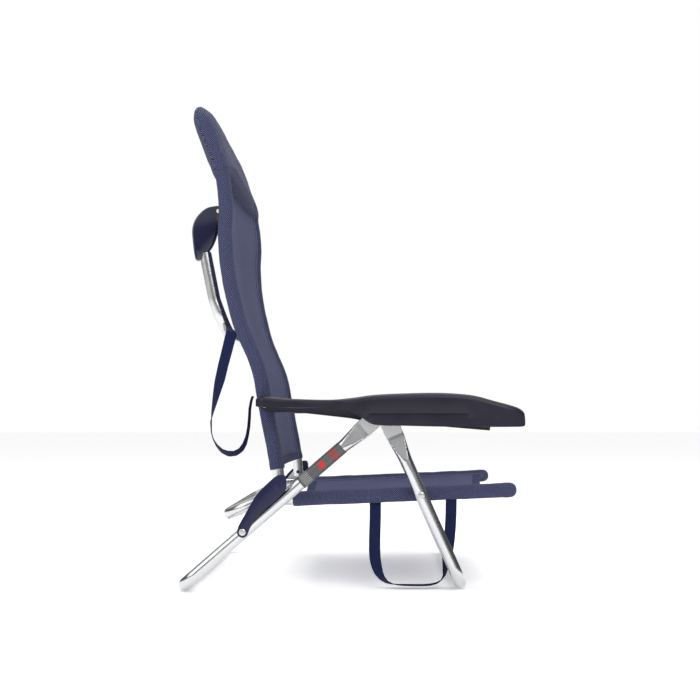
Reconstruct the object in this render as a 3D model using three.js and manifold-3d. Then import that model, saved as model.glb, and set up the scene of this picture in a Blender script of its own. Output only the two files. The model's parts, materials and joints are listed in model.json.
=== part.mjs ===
// Low folding beach chair: aluminium tube frame, sling seat and back, moulded armrests.
// Millimetres. +X is the way the sitter faces, +Y is the sitter's left, +Z is up.
// The origin is on the ground under the middle of the chair.
import * as THREE from 'three';
import { mergeVertices } from 'three/addons/utils/BufferGeometryUtils.js';
import Module from 'manifold-3d';

const wasm = await Module();
wasm.setup();

// ---- driving dimensions -------------------------------------------------

const TUBE_R = 10;
const TUBE_SIDES = 10;
const GAP = 0.4;
const SLEEVE_WALL = 1.6;
const SLEEVE_R = TUBE_R + SLEEVE_WALL;
const FABRIC = 2.2;

// half widths: the distance of each layer from the middle of the chair
const RAIL_Y = 232;
const LEG_CLEARANCE = 5.9;
const LEG_SPACING = 23;
const SUPPORT_INSET = 24;
const FRONT_LEG_Y = RAIL_Y + SLEEVE_R + LEG_CLEARANCE + TUBE_R;
const REAR_LEG_Y = FRONT_LEG_Y + LEG_SPACING;
const SUPPORT_Y = RAIL_Y - SUPPORT_INSET;

// pivots, as [x, z]
const LEG_PIVOT = [54.6, 292.5];
const SEAT_PIVOT = [114.9, 156.2];
const LINK_PIVOT = [-171.1, 99];
const BACK_PIVOT = [-118, 170.5];
const ARM_PIVOT = [-140.2, 303.9];
const SUPPORT_PIVOT = [-220, 625];

const FOOT_WEAR = 0.8;
const FOOT_Z = TUBE_R - FOOT_WEAR;
const FRONT_FOOT = [180.7, FOOT_Z];
const REAR_FOOT = [-270.8, FOOT_Z];
const FOOT_BEND_R = 30;

// flattened leg tops, measured along the leg from its pivot
const FLAT_THICKNESS = 5.2;
const FLAT_WIDTH = 29;
const FLAT_END = 13;
const FLAT_FULL = 42;
const FLAT_START = 84;

const RAIL_SLOPE = 0.0413;
const RAIL_FRONT_X = 262;
const RAIL_TIP = 12;
const RAIL_TIP_X = RAIL_FRONT_X + RAIL_TIP;
const RAIL_DIP_X = -150;
const SEAT_REAR_X = -205;
const SEAT_REAR_DROP = 22;
const SEAT_BEND_R = 42;
const SEAT_FABRIC_REAR_X = -95;
const SEAT_FABRIC_SETBACK = 10;
const SEAT_FABRIC_FRONT_X = RAIL_FRONT_X - SEAT_FABRIC_SETBACK;
const SEAT_SAG = 17;
const SEAT_EDGE_LIFT = 6;
const SEAT_DIP_R = 30;

const BACK_TAIL = 8;
const BACK_FABRIC_BOTTOM = 197;
const BACK_PROFILE = [[-139, 294], [-153, 365], [-182, 436], [-202, 521], [-207, 575], [-206.5, 641]];
const NECK = [-214, 697];
const HEAD_TOP = [-247, 782];
const HEAD_BEND_R = 55;
const NECK_SEAM = 3;
const BACK_STEPS = 14;
const BACK_SAG = 10;
const BACK_FOOT_LEAN = 2.5;
const BACK_EDGE_LIFT = 5;
const CROSSBAR_R = 9;

// pins and rivets: shank, head radius and head thickness
const PIN_R = 3.5;
const PIN_CLEARANCE = 0.3;
const PIN_HEAD_R = 5.5;
const PIN_HEAD = 1.8;
const SEAT_RIVET_HEAD = 1.3;
const LINK_RIVET_HEAD = 1.6;
const LEG_PIN_R = 4;
const LEG_PIN_HEAD_R = 6;
const LEG_PIN_HEAD = 2.4;
const LEG_PIN_PLAY = 3;
const ARM_PIN_HEAD_R = 6;
const SUPPORT_RIVET_HEAD_R = 6.5;
const BUSH_WALL = 3;

const PLATE_GAP = 0.7;
const LINK_THICKNESS = 5;
const LINK_INNER_Y = REAR_LEG_Y + TUBE_R + PLATE_GAP;
const LINK_Y = [LINK_INNER_Y, LINK_INNER_Y + LINK_THICKNESS];
const LINK_END_R = 9;
const BRACKET_THICKNESS = 3;
const BRACKET_INNER_Y = RAIL_Y + TUBE_R + 0.5;
const BRACKET_Y = [BRACKET_INNER_Y, BRACKET_INNER_Y + BRACKET_THICKNESS];
const BRACKET_EYE_R = 9.5;

const ARM_CLEARANCE = 1.4;
const ARM_OVERHANG = 22.5;
const ARM_REAR_WIDTH = 34;
const ARM_Y = [RAIL_Y + SLEEVE_R + ARM_CLEARANCE, REAR_LEG_Y + ARM_OVERHANG];
const ARM_REAR_Y = ARM_Y[0] + ARM_REAR_WIDTH;
const ARM_WALL = 3;
const ARM_TIP_X = 280.6;
const ARM_TIP_R = 14;
const ARM_TIP_SWEEP = 22;
const ARM_REAR_R = 8;
const ARM_WAIST_X = [-8, -100];
const ARM_TOP = [[-151, 315], [-93, 311.5], [-28, 310], [4, 313], [37, 317.5], [85, 320], [134, 321],
  [166, 320], [199, 316.5], [231, 308], [257, 301], [273, 295], [ARM_TIP_X, 287]];
const ARM_BOTTOM = [[ARM_TIP_X, 268], [270, 267], [85, 269], [43, 270], [33, 272.5], [10, 279],
  [-28, 284], [-93, 290.5], [-135, 292], [-153, 300]];
const ARM_OUTER_EDGE = [[-153, 300], [-16, 297], [4, 290.5], [20.5, 281], [33, 272.5], [33, 200], [-200, 200],
  [-200, 300]];

const TRACK_MARGIN = 5.5;
const TRACK_Y = [FRONT_LEG_Y + TRACK_MARGIN, REAR_LEG_Y - TRACK_MARGIN];
const TRACK_TOP = 308;
const TRACK_REAR = 20;
const TRACK_GAP = 1;
const NOTCHES = 6;
const NOTCH_PITCH = 26;
const NOTCH_DEPTH = 5;
const NOTCH_LAND = 8;

const SUPPORT_TOP = [-243.5, 556];
const SUPPORT_BOTTOM = [-208, 424];
const SUPPORT_KNEE = [-228, 478];
const SUPPORT_BEND_R = 36;
const SUPPORT_KNEE_R = 60;
const ELBOW_HALF = 9.5;
const ELBOW_EYE_R = 9.5;

const HEADREST_OUTLINE = [[2, 13], [40, 15], [80, 15.5], [98, 12], [105, 2], [102, -10], [84, -19], [50, -20],
  [20, -16], [2, -13]];
const HEADREST_CROWN = 8;

const LABEL_GAP = 4;
const LABEL_LENGTH = 88;
const LABEL_THICKNESS = 0.5;

const STRAP_R = 4;
const SEAT_STRAP_ROUTE = [[40.5, 136.5], [40.5, 120], [40, 102.8], [39.5, 84], [39.3, 64.9], [40, 50],
  [42.5, 36.8], [46, 26], [51.6, 17], [59, 10.5], [68, 7.3], [79, 5.9], [92, 5.4], [106, 5.2], [119, 5.2],
  [131, 6], [142, 8.6], [150, 14], [154.5, 22], [157.5, 40], [160, 60], [162.5, 80], [164.3, 100],
  [165.3, 120], [165.7, 141.5]];
const BACK_STRAP_ROUTE = [[-196, 424], [-201, 405], [-206, 385], [-210.5, 368], [-214.5, 350], [-219, 332],
  [-223.5, 312], [-228, 291], [-230.5, 275], [-230, 258], [-227, 246], [-221, 235.5], [-212.5, 226.5],
  [-202, 222], [-191, 222.5], [-181.5, 228], [-175, 238], [-171, 251], [-168.5, 265], [-167.2, 280],
  [-166.5, 296], [-164, 310], [-161.5, 317]];

// ---- shapes and solids --------------------------------------------------

const at = (xz, y) => new THREE.Vector3(xz[0], y, xz[1]);
const railZ = (x) => SEAT_PIVOT[1] + (x - SEAT_PIVOT[0]) * RAIL_SLOPE;
const flipY = (p) => new THREE.Vector3(p.x, -p.y, p.z);

function toSolid(geometry) {
  const bare = geometry.clone();
  bare.deleteAttribute('normal');
  bare.deleteAttribute('uv');
  const merged = mergeVertices(bare, 1e-3);
  const vertProperties = new Float32Array(merged.attributes.position.array);
  const triVerts = new Uint32Array(merged.index.array);
  return new wasm.Manifold(new wasm.Mesh({ numProp: 3, vertProperties, triVerts }));
}

function toGeometry(solid) {
  const { vertProperties, triVerts } = solid.getMesh();
  const geometry = new THREE.BufferGeometry();
  geometry.setAttribute('position', new THREE.BufferAttribute(new Float32Array(vertProperties), 3));
  geometry.setIndex(new THREE.BufferAttribute(new Uint32Array(triVerts), 1));
  return geometry;
}

// A path given as stations. An extrusion along it has one ring at each station.
class StationPath extends THREE.Curve {
  constructor(stations) {
    super();
    this.stations = stations;
  }

  index(u) {
    return Math.round(u * (this.stations.length - 1));
  }

  getPoint(u) {
    return this.stations[this.index(u)].clone();
  }

  getSpacedPoints() {
    return this.stations;
  }

  getTangentAt(u, target = new THREE.Vector3()) {
    const i = this.index(u);
    const before = this.stations[Math.max(i - 1, 0)];
    const after = this.stations[Math.min(i + 1, this.stations.length - 1)];
    return target.subVectors(after, before).normalize();
  }
}

// Straight runs between corners, with an arc of the given radius round each inner corner.
function bentPath(corners, radii, arcSteps = 5) {
  const stations = [corners[0]];
  for (let i = 1; i < corners.length - 1; i += 1) {
    const back = corners[i - 1].clone().sub(corners[i]).normalize();
    const ahead = corners[i + 1].clone().sub(corners[i]).normalize();
    const half = back.angleTo(ahead) / 2;
    const radius = radii[i - 1];
    const centre = back.clone().add(ahead).normalize().multiplyScalar(radius / Math.sin(half));
    centre.add(corners[i]);
    const reach = radius / Math.tan(half);
    const spoke = corners[i].clone().addScaledVector(back, reach).sub(centre);
    const lastSpoke = corners[i].clone().addScaledVector(ahead, reach).sub(centre);
    const axis = new THREE.Vector3().crossVectors(spoke, lastSpoke).normalize();
    for (let k = 0; k <= arcSteps; k += 1) {
      const turn = ((Math.PI - 2 * half) * k) / arcSteps;
      stations.push(spoke.clone().applyAxisAngle(axis, turn).add(centre));
    }
  }
  stations.push(corners[corners.length - 1]);
  return stations;
}

function ringShape(outer, inner = 0) {
  const shape = new THREE.Shape();
  shape.absarc(0, 0, outer, 0, 2 * Math.PI, false);
  if (inner > 0) {
    const hole = new THREE.Path();
    hole.absarc(0, 0, inner, 0, 2 * Math.PI, true);
    shape.holes.push(hole);
  }
  return shape;
}

function sweep(shape, stations) {
  const extrudePath = new StationPath(stations);
  const options = { steps: stations.length - 1, curveSegments: TUBE_SIDES / 2, extrudePath };
  return new THREE.ExtrudeGeometry(shape, options);
}

// A side outline, as x and z, given its thickness from y0 to y1.
function sideSolid(shape, y0, y1, curveSegments = 6) {
  const geometry = new THREE.ExtrudeGeometry(shape, { depth: y1 - y0, bevelEnabled: false, curveSegments });
  geometry.rotateX(Math.PI / 2);
  geometry.translate(0, y1, 0);
  return toSolid(geometry);
}

// A plan outline, as x and y, given its height from z0 to z1.
function planSolid(shape, z0, z1) {
  const options = { depth: z1 - z0, bevelEnabled: false, curveSegments: 6 };
  const geometry = new THREE.ExtrudeGeometry(shape, options);
  geometry.translate(0, 0, z0);
  return toSolid(geometry);
}

const outline = (points) => new THREE.Shape(points.map(([x, y]) => new THREE.Vector2(x, y)));

// A turned piece on an axis along Y, through the point xz. Its profile is radius against y.
function turned(profile, xz, sides = 14) {
  const points = profile.map(([r, y]) => new THREE.Vector2(r, y));
  const geometry = new THREE.LatheGeometry(points, sides);
  geometry.translate(xz[0], 0, xz[1]);
  return toSolid(geometry);
}

// A pin from y0 to y1 with a head of its own radius and thickness at each end.
function headedPin(radius, y0, y1, headRadius, head, xz) {
  const profile = [[0, y0 - head], [headRadius, y0 - head], [headRadius, y0], [radius, y0]];
  profile.push([radius, y1], [headRadius, y1], [headRadius * 0.7, y1 + head], [0, y1 + head]);
  return turned(profile, xz);
}

// A pin whose inner end is flush, with a head only at its outer end.
function blindPin(radius, y0, y1, headRadius, head, xz) {
  const profile = [[0, y0], [radius, y0], [radius, y1], [headRadius, y1]];
  profile.push([headRadius * 0.7, y1 + head], [0, y1 + head]);
  return turned(profile, xz);
}

const bushing = (inner, outer, y0, y1, xz) =>
  turned([[inner, y0], [outer, y0], [outer, y1], [inner, y1], [inner, y0]], xz);

// Cuts a hole for a pin along Y on both sides of the chair.
function drill(solid, xz, radius) {
  const reach = REAR_LEG_Y * 2;
  return solid.subtract(turned([[0, -reach], [radius, -reach], [radius, reach], [0, reach]], xz));
}

// ---- frame tubes --------------------------------------------------------

// A U-shaped leg: two flattened tops on the leg pivot and a foot bar between them.
function legFrame(foot, halfWidth, holes) {
  const top = at(LEG_PIVOT, halfWidth);
  const corner = at(foot, halfWidth);
  const along = corner.clone().sub(top).normalize();
  const station = (s) => top.clone().addScaledVector(along, s);
  const flats = [];
  for (const share of [0, 0.25, 0.5, 0.75]) {
    flats.push(station(FLAT_FULL + (FLAT_START - FLAT_FULL) * share));
  }
  const near = [station(-FLAT_END), ...flats];
  const bend = bentPath([station(FLAT_START), corner, flipY(corner), flipY(station(FLAT_START))],
    [FOOT_BEND_R, FOOT_BEND_R]);
  const stations = [...near, ...bend, ...near.map(flipY).reverse()];
  const geometry = sweep(ringShape(TUBE_R), stations);
  flattenTops(geometry, top, along, halfWidth);
  const drilled = holes.reduce((solid, [xz, radius]) => drill(solid, xz, radius), toSolid(geometry));
  return drilled.subtract(ground());
}

// Everything below the ground: the foot bars are worn flat where they stand on it.
function ground() {
  const reach = 500;
  return planSolid(outline([[-reach, -reach], [reach, -reach], [reach, reach], [-reach, reach]]), -50, 0);
}

function flattenTops(geometry, top, along, halfWidth) {
  const position = geometry.attributes.position;
  const across = new THREE.Vector3(-along.z, 0, along.x);
  const p = new THREE.Vector3();
  for (let i = 0; i < position.count; i += 1) {
    p.fromBufferAttribute(position, i);
    const side = Math.sign(p.y);
    const offset = p.clone().sub(top);
    const s = offset.dot(along);
    const round = THREE.MathUtils.smoothstep(s, FLAT_FULL, FLAT_START);
    const thin = THREE.MathUtils.lerp(FLAT_THICKNESS / (2 * TUBE_R), 1, round);
    const wide = THREE.MathUtils.lerp(FLAT_WIDTH / (2 * TUBE_R), 1, round);
    const n = offset.dot(across);
    p.addScaledVector(across, n * (wide - 1));
    p.y = round < 1 ? side * (halfWidth + (Math.abs(p.y) - halfWidth) * thin) : p.y;
    position.setXYZ(i, p.x, p.y, p.z);
  }
}

function seatFrame() {
  const front = new THREE.Vector3(RAIL_FRONT_X, RAIL_Y, railZ(RAIL_FRONT_X));
  const dip = new THREE.Vector3(RAIL_DIP_X, RAIL_Y, railZ(RAIL_DIP_X));
  const rear = new THREE.Vector3(SEAT_REAR_X, RAIL_Y, railZ(SEAT_REAR_X) - SEAT_REAR_DROP);
  const corners = [front, dip, rear, flipY(rear), flipY(dip), flipY(front)];
  const radii = [SEAT_DIP_R, SEAT_BEND_R, SEAT_BEND_R, SEAT_DIP_R];
  return toSolid(sweep(ringShape(TUBE_R), bentPath(corners, radii)));
}

// One side of the backrest's S curve, from the lower edge of the fabric up to the neck.
function backRise(halfWidth) {
  const foot = [BACK_PIVOT[0] - BACK_FOOT_LEAN, BACK_FABRIC_BOTTOM];
  const points = [foot, ...BACK_PROFILE, NECK].map((xz) => at(xz, halfWidth));
  return new THREE.CatmullRomCurve3(points, false, 'centripetal').getSpacedPoints(BACK_STEPS);
}

function backStations() {
  const tail = new THREE.Vector3(BACK_PIVOT[0] + BACK_TAIL * 0.1, RAIL_Y, BACK_PIVOT[1] - BACK_TAIL);
  const rise = [tail, ...backRise(RAIL_Y).slice(0, -1)];
  const corner = at(HEAD_TOP, RAIL_Y);
  const neck = at(NECK, RAIL_Y);
  const bend = bentPath([neck, corner, flipY(corner), flipY(neck)], [HEAD_BEND_R, HEAD_BEND_R]);
  return [...rise, ...bend, ...rise.map(flipY).reverse()];
}

function backFrame() {
  const pierced = drill(toSolid(sweep(ringShape(TUBE_R), backStations())), BACK_PIVOT, PIN_R + PIN_CLEARANCE);
  return drill(pierced, ARM_PIVOT, PIN_R + PIN_CLEARANCE);
}

// The tube between the two back pivots, on their axis.
function backCrossbar() {
  const reach = RAIL_Y - TUBE_R - 2 * GAP - PIN_HEAD;
  return turned([[0, -reach], [CROSSBAR_R, -reach], [CROSSBAR_R, reach], [0, reach]], BACK_PIVOT);
}

function supportStations() {
  const side = [SUPPORT_TOP, SUPPORT_KNEE, SUPPORT_BOTTOM].map((xz) => at(xz, SUPPORT_Y));
  const corners = [...side, ...side.map(flipY).reverse()];
  return bentPath(corners, [SUPPORT_KNEE_R, SUPPORT_BEND_R, SUPPORT_BEND_R, SUPPORT_KNEE_R]);
}

// ---- fabric -------------------------------------------------------------

// A fabric tube round a frame tube.
const sleeve = (stations) => toSolid(sweep(ringShape(SLEEVE_R, TUBE_R + GAP), stations));

function seatSleeve() {
  const rear = new THREE.Vector3(SEAT_FABRIC_REAR_X, RAIL_Y, railZ(SEAT_FABRIC_REAR_X));
  const front = new THREE.Vector3(RAIL_FRONT_X, RAIL_Y, railZ(RAIL_FRONT_X));
  return sleeve([rear, front]);
}

// The same curve, stopping just short of the neck, where the fabric meets the headrest.
function backFabricStations(halfWidth) {
  const rise = backRise(halfWidth);
  const last = rise.pop();
  rise.push(last.lerp(rise[rise.length - 1], NECK_SEAM / last.distanceTo(rise[rise.length - 1])));
  return rise;
}

const backSleeve = () => drill(sleeve(backFabricStations(RAIL_Y)), ARM_PIVOT, PIN_R + PIN_CLEARANCE);

// The section of a hanging sheet: level at its two edges and lowest in the middle.
function slingSection(halfWidth, sag, lift) {
  const top = [];
  const bottom = [];
  const steps = 8;
  for (let i = 0; i <= steps; i += 1) {
    const y = halfWidth * ((2 * i) / steps - 1);
    const z = lift - sag * (1 - (y / halfWidth) ** 2);
    top.push([y, z]);
    bottom.unshift([y, z - FABRIC]);
  }
  return outline([...bottom, ...top]);
}

function seatSling() {
  const halfWidth = RAIL_Y - SLEEVE_R - 1;
  const depth = SEAT_FABRIC_FRONT_X - SEAT_FABRIC_REAR_X;
  const options = { depth, bevelEnabled: false };
  const geometry = new THREE.ExtrudeGeometry(slingSection(halfWidth, SEAT_SAG, SEAT_EDGE_LIFT), options);
  geometry.rotateX(Math.PI / 2);
  geometry.rotateZ(Math.PI / 2);
  geometry.rotateY(-Math.atan(RAIL_SLOPE));
  geometry.translate(SEAT_FABRIC_REAR_X, 0, railZ(SEAT_FABRIC_REAR_X));
  return toSolid(geometry);
}

function backSling() {
  const halfWidth = RAIL_Y - SLEEVE_R - 1;
  return toSolid(sweep(slingSection(halfWidth, BACK_SAG, BACK_EDGE_LIFT), backFabricStations(0)));
}

function headrest() {
  const lean = at(HEAD_TOP, 0).sub(at(NECK, 0)).normalize();
  const front = [lean.z, -lean.x];
  const point = (s, n) => [NECK[0] + lean.x * s + front[0] * n, NECK[1] + lean.z * s + front[1] * n];
  const side = outline(HEADREST_OUTLINE.map(([s, n]) => point(s, n)));
  const halfWidth = RAIL_Y + SLEEVE_R + 1;
  const corner = HEAD_BEND_R + SLEEVE_R;
  const top = HEAD_TOP[1] + TUBE_R + HEADREST_CROWN;
  const face = new THREE.Shape();
  face.moveTo(-halfWidth, NECK[1] - 20);
  face.lineTo(halfWidth, NECK[1] - 20);
  face.lineTo(halfWidth, top - corner);
  face.absarc(halfWidth - corner, top - corner, corner, 0, Math.PI / 2, false);
  face.lineTo(-halfWidth + corner, top);
  face.absarc(-halfWidth + corner, top - corner, corner, Math.PI / 2, Math.PI, false);
  const slab = new THREE.ExtrudeGeometry(face, { depth: 200, bevelEnabled: false, curveSegments: 5 });
  slab.rotateX(Math.PI / 2);
  slab.rotateZ(Math.PI / 2);
  slab.translate(NECK[0] - 130, 0, 0);
  const pad = sideSolid(side, -halfWidth, halfWidth).intersect(toSolid(slab));
  return pad.subtract(toSolid(sweep(ringShape(TUBE_R + GAP), backStations())));
}

// ---- moulded and stamped pieces -----------------------------------------

function armPlan(inset) {
  const rear = ARM_TOP[0][0] - 2 + inset;
  const tip = ARM_TIP_X - inset;
  const inner = ARM_Y[0] + inset;
  const outer = ARM_Y[1] - inset;
  const shape = new THREE.Shape();
  shape.moveTo(rear, inner);
  const waist = ARM_REAR_Y - inset;
  const bend = (ARM_WAIST_X[0] - ARM_WAIST_X[1]) * 0.4;
  shape.lineTo(tip - ARM_TIP_R, inner);
  shape.quadraticCurveTo(tip, inner, tip, inner + ARM_TIP_R);
  shape.lineTo(tip, outer - ARM_TIP_R);
  shape.quadraticCurveTo(tip, outer, tip - ARM_TIP_SWEEP, outer);
  shape.lineTo(ARM_WAIST_X[0], outer);
  shape.bezierCurveTo(ARM_WAIST_X[0] - bend, outer, ARM_WAIST_X[1] + bend, waist, ARM_WAIST_X[1], waist);
  shape.lineTo(rear + ARM_REAR_R, waist);
  shape.quadraticCurveTo(rear, waist, rear, waist - ARM_REAR_R);
  return shape;
}

// An armrest: a shell that is open below, with a longer inner wall than outer wall behind.
function armrest() {
  const side = outline([...ARM_TOP, ...ARM_BOTTOM]);
  const whole = sideSolid(side, ARM_Y[0], ARM_Y[1]).intersect(planSolid(armPlan(0), 200, 400));
  const roof = ARM_TOP.slice(0, -1).map(([x, z]) => [x, z - ARM_WALL]);
  const hollow = outline([[roof[0][0] + ARM_WALL, 200], [roof[0][0] + ARM_WALL, roof[0][1]], ...roof.slice(1),
    [ARM_TIP_X - ARM_WALL, 285], [ARM_TIP_X - ARM_WALL, 200]]);
  const channel = sideSolid(hollow, ARM_Y[0] + ARM_WALL, ARM_Y[1] - ARM_WALL);
  const shell = whole.subtract(channel.intersect(planSolid(armPlan(ARM_WALL), 200, 400)));
  const trim = sideSolid(outline(ARM_OUTER_EDGE), ARM_Y[0] + ARM_WALL + 1, ARM_Y[1] + 1);
  return drill(shell.subtract(trim), ARM_PIVOT, PIN_R + PIN_CLEARANCE);
}

// The notched track under the armrest's roof, between the two flattened leg tops.
function armTrack() {
  const land = LEG_PIVOT[1] + LEG_PIN_R + BUSH_WALL + TRACK_GAP;
  const start = LEG_PIVOT[0] - TRACK_REAR;
  const points = [[start, TRACK_TOP], [start, land]];
  for (let i = 0; i < NOTCHES; i += 1) {
    const x = start + NOTCH_LAND + i * NOTCH_PITCH;
    const near = [[x, land], [x + 2, land + NOTCH_DEPTH]];
    points.push(...near, [x + 12, land + NOTCH_DEPTH], [x + 16, land]);
  }
  const end = start + NOTCH_LAND + NOTCHES * NOTCH_PITCH;
  points.push([end, land], [end, TRACK_TOP]);
  return sideSolid(outline(points), TRACK_Y[0], TRACK_Y[1]);
}

function foldingLink() {
  const [lx, lz] = LINK_PIVOT;
  const [px, pz] = BACK_PIVOT;
  const shape = new THREE.Shape();
  shape.moveTo(lx + 8.5, lz - 3);
  shape.splineThru([[lx + 20, lz + 22], [px - 17, pz - 31], [px, pz - 17], [px + 13, pz - 3]]
    .map(([x, z]) => new THREE.Vector2(x, z)));
  shape.splineThru([[px + 16, pz + 6], [px + 14, pz + 19], [px + 6, pz + 23], [px - 2, pz + 19],
    [px - 12, pz + 10], [px - 34, pz - 8], [lx + 3, lz + 40], [lx - 5, lz + 20], [lx - 8.5, lz + 3]]
    .map(([x, z]) => new THREE.Vector2(x, z)));
  shape.absarc(lx, lz, LINK_END_R, 2.8, 6, false);
  const plate = sideSolid(shape, LINK_Y[0], LINK_Y[1], 4);
  return drill(drill(plate, LINK_PIVOT, PIN_R + PIN_CLEARANCE), BACK_PIVOT, PIN_R + PIN_CLEARANCE);
}

// A bracket on the outside of the seat rail, which carries the back pivot above it.
function seatBracket() {
  const [px, pz] = BACK_PIVOT;
  const low = railZ(px) - 9;
  const shape = new THREE.Shape();
  shape.moveTo(px - 24, low);
  shape.lineTo(px + 16, low + 1.5);
  shape.lineTo(px + 18, low + 16);
  shape.lineTo(px + 8.5, pz + 4);
  shape.absarc(px, pz, BRACKET_EYE_R, 0.45, Math.PI - 0.45, false);
  shape.lineTo(px - 26, low + 16);
  const plate = sideSolid(shape, BRACKET_Y[0], BRACKET_Y[1]);
  return drill(plate, BACK_PIVOT, PIN_R + PIN_CLEARANCE);
}

// The moulded elbow that joins the support leg to its rivet.
function supportElbow() {
  const [hx, hz] = SUPPORT_PIVOT;
  const shape = new THREE.Shape();
  shape.moveTo(hx - 4, hz - 38);
  shape.splineThru([[hx - 9, hz - 52], [hx - 20, hz - 70]].map(([x, z]) => new THREE.Vector2(x, z)));
  shape.lineTo(hx - 38, hz - 81);
  shape.splineThru([[hx - 44, hz - 56], [hx - 46, hz - 30], [hx - 42, hz - 16], [hx - 32, hz - 3],
    [hx - 20, hz + 6], [hx - 6, hz + 9]].map(([x, z]) => new THREE.Vector2(x, z)));
  shape.absarc(hx, hz, ELBOW_EYE_R, 2.1, -1.4, true);
  const block = sideSolid(shape, SUPPORT_Y - ELBOW_HALF, SUPPORT_Y + ELBOW_HALF, 3);
  const bored = block.subtract(toSolid(sweep(ringShape(TUBE_R + GAP), supportStations())));
  return drill(bored, SUPPORT_PIVOT, PIN_R + PIN_CLEARANCE);
}

// The rounded plug in the front end of a seat rail.
function railPlug() {
  const length = RAIL_TIP_X - RAIL_FRONT_X - GAP;
  const profile = [[0, 0], [SLEEVE_R - 0.5, 0], [SLEEVE_R - 1, length * 0.4], [SLEEVE_R * 0.7, length * 0.8],
    [0, length]];
  const points = profile.map(([r, y]) => new THREE.Vector2(r, y));
  const geometry = new THREE.LatheGeometry(points, 12);
  geometry.rotateZ(-Math.PI / 2);
  geometry.rotateY(-Math.atan(RAIL_SLOPE));
  geometry.translate(RAIL_FRONT_X + GAP, RAIL_Y, railZ(RAIL_FRONT_X));
  return toSolid(geometry);
}

// A printed wrap round the rear leg.
function legLabel() {
  const top = at(LEG_PIVOT, REAR_LEG_Y);
  const along = at(REAR_FOOT, REAR_LEG_Y).sub(top).normalize();
  const from = top.clone().addScaledVector(along, FLAT_START + LABEL_GAP);
  const to = from.clone().addScaledVector(along, LABEL_LENGTH);
  return toSolid(sweep(ringShape(TUBE_R + GAP + LABEL_THICKNESS, TUBE_R + GAP), [from, to]));
}

// ---- webbing straps -----------------------------------------------------

function strap(route) {
  return toSolid(sweep(ringShape(STRAP_R), route.map((xz) => at(xz, -RAIL_Y))));
}

// ---- the assembly -------------------------------------------------------

const ALUMINIUM = { color: 0xd3d5d8, roughness: 0.22, metalness: 1 };
const ALLOY = { color: 0xc4c6c9, roughness: 0.3, metalness: 1 };
const SLING = { color: 0x565b7c, roughness: 0.85, metalness: 0 };
const SLEEVE = { color: 0x343a66, roughness: 0.85, metalness: 0 };
const ARM = { color: 0x232231, roughness: 0.45, metalness: 0 };
const LINK = { color: 0x24254a, roughness: 0.35, metalness: 0 };
const BLACK = { color: 0x17171b, roughness: 0.5, metalness: 0 };
const WHITE = { color: 0xdcdcdc, roughness: 0.5, metalness: 0 };
const LABEL = { color: 0x5a5b60, roughness: 0.5, metalness: 0 };
const WEBBING = { color: 0x182350, roughness: 0.8, metalness: 0 };

const chair = new THREE.Group();

function add(name, solid, look) {
  const mesh = new THREE.Mesh(toGeometry(solid), new THREE.MeshStandardMaterial(look));
  mesh.name = name;
  chair.add(mesh);
}

// The same piece on the sitter's left and, mirrored, on the right.
function addPair(name, solid, look) {
  add(`${name}_left`, solid, look);
  add(`${name}_right`, solid.mirror([0, 1, 0]), look);
}

const pinHole = PIN_R + PIN_CLEARANCE;
const legPinHole = LEG_PIN_R + PIN_CLEARANCE;
const flatHalf = FLAT_THICKNESS / 2;
const rearLegHoles = [[LEG_PIVOT, legPinHole], [LINK_PIVOT, pinHole]];
const frontLegHoles = [[LEG_PIVOT, legPinHole], [SEAT_PIVOT, pinHole]];

add('rear_leg_frame', legFrame(REAR_FOOT, REAR_LEG_Y, rearLegHoles), ALUMINIUM);
add('front_leg_frame', legFrame(FRONT_FOOT, FRONT_LEG_Y, frontLegHoles), ALUMINIUM);
add('seat_frame', seatFrame(), ALUMINIUM);
add('backrest_frame', backFrame(), ALUMINIUM);
add('backrest_crossbar', backCrossbar(), ALUMINIUM);
add('support_leg_tube', toSolid(sweep(ringShape(TUBE_R), supportStations())), ALUMINIUM);
addPair('support_elbow', supportElbow(), LINK);
addPair('armrest', armrest(), ARM);
addPair('armrest_track', armTrack(), BLACK);
addPair('folding_link', foldingLink(), LINK);
addPair('seat_bracket', seatBracket(), ALLOY);
add('seat_sling', seatSling(), SLING);
addPair('seat_sleeve', seatSleeve(), SLEEVE);
add('backrest_sling', backSling(), SLING);
addPair('backrest_sleeve', backSleeve(), SLEEVE);
add('headrest_pad', headrest(), SLEEVE);
addPair('seat_rail_plug', railPlug(), BLACK);
addPair('rear_leg_label', legLabel(), LABEL);

const legPinInner = ARM_Y[0] + ARM_WALL + LEG_PIN_HEAD + GAP + 0.7;
const legPinOuter = ARM_Y[1] - ARM_WALL - LEG_PIN_PLAY;
const legPin = headedPin(LEG_PIN_R, legPinInner, legPinOuter, LEG_PIN_HEAD_R, LEG_PIN_HEAD, LEG_PIVOT);
addPair('leg_pivot_pin', legPin, ALLOY);
const bushSpan = [FRONT_LEG_Y + flatHalf + GAP, REAR_LEG_Y - flatHalf - GAP];
addPair('leg_pivot_bush', bushing(legPinHole, LEG_PIN_R + BUSH_WALL, ...bushSpan, LEG_PIVOT), BLACK);

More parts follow.
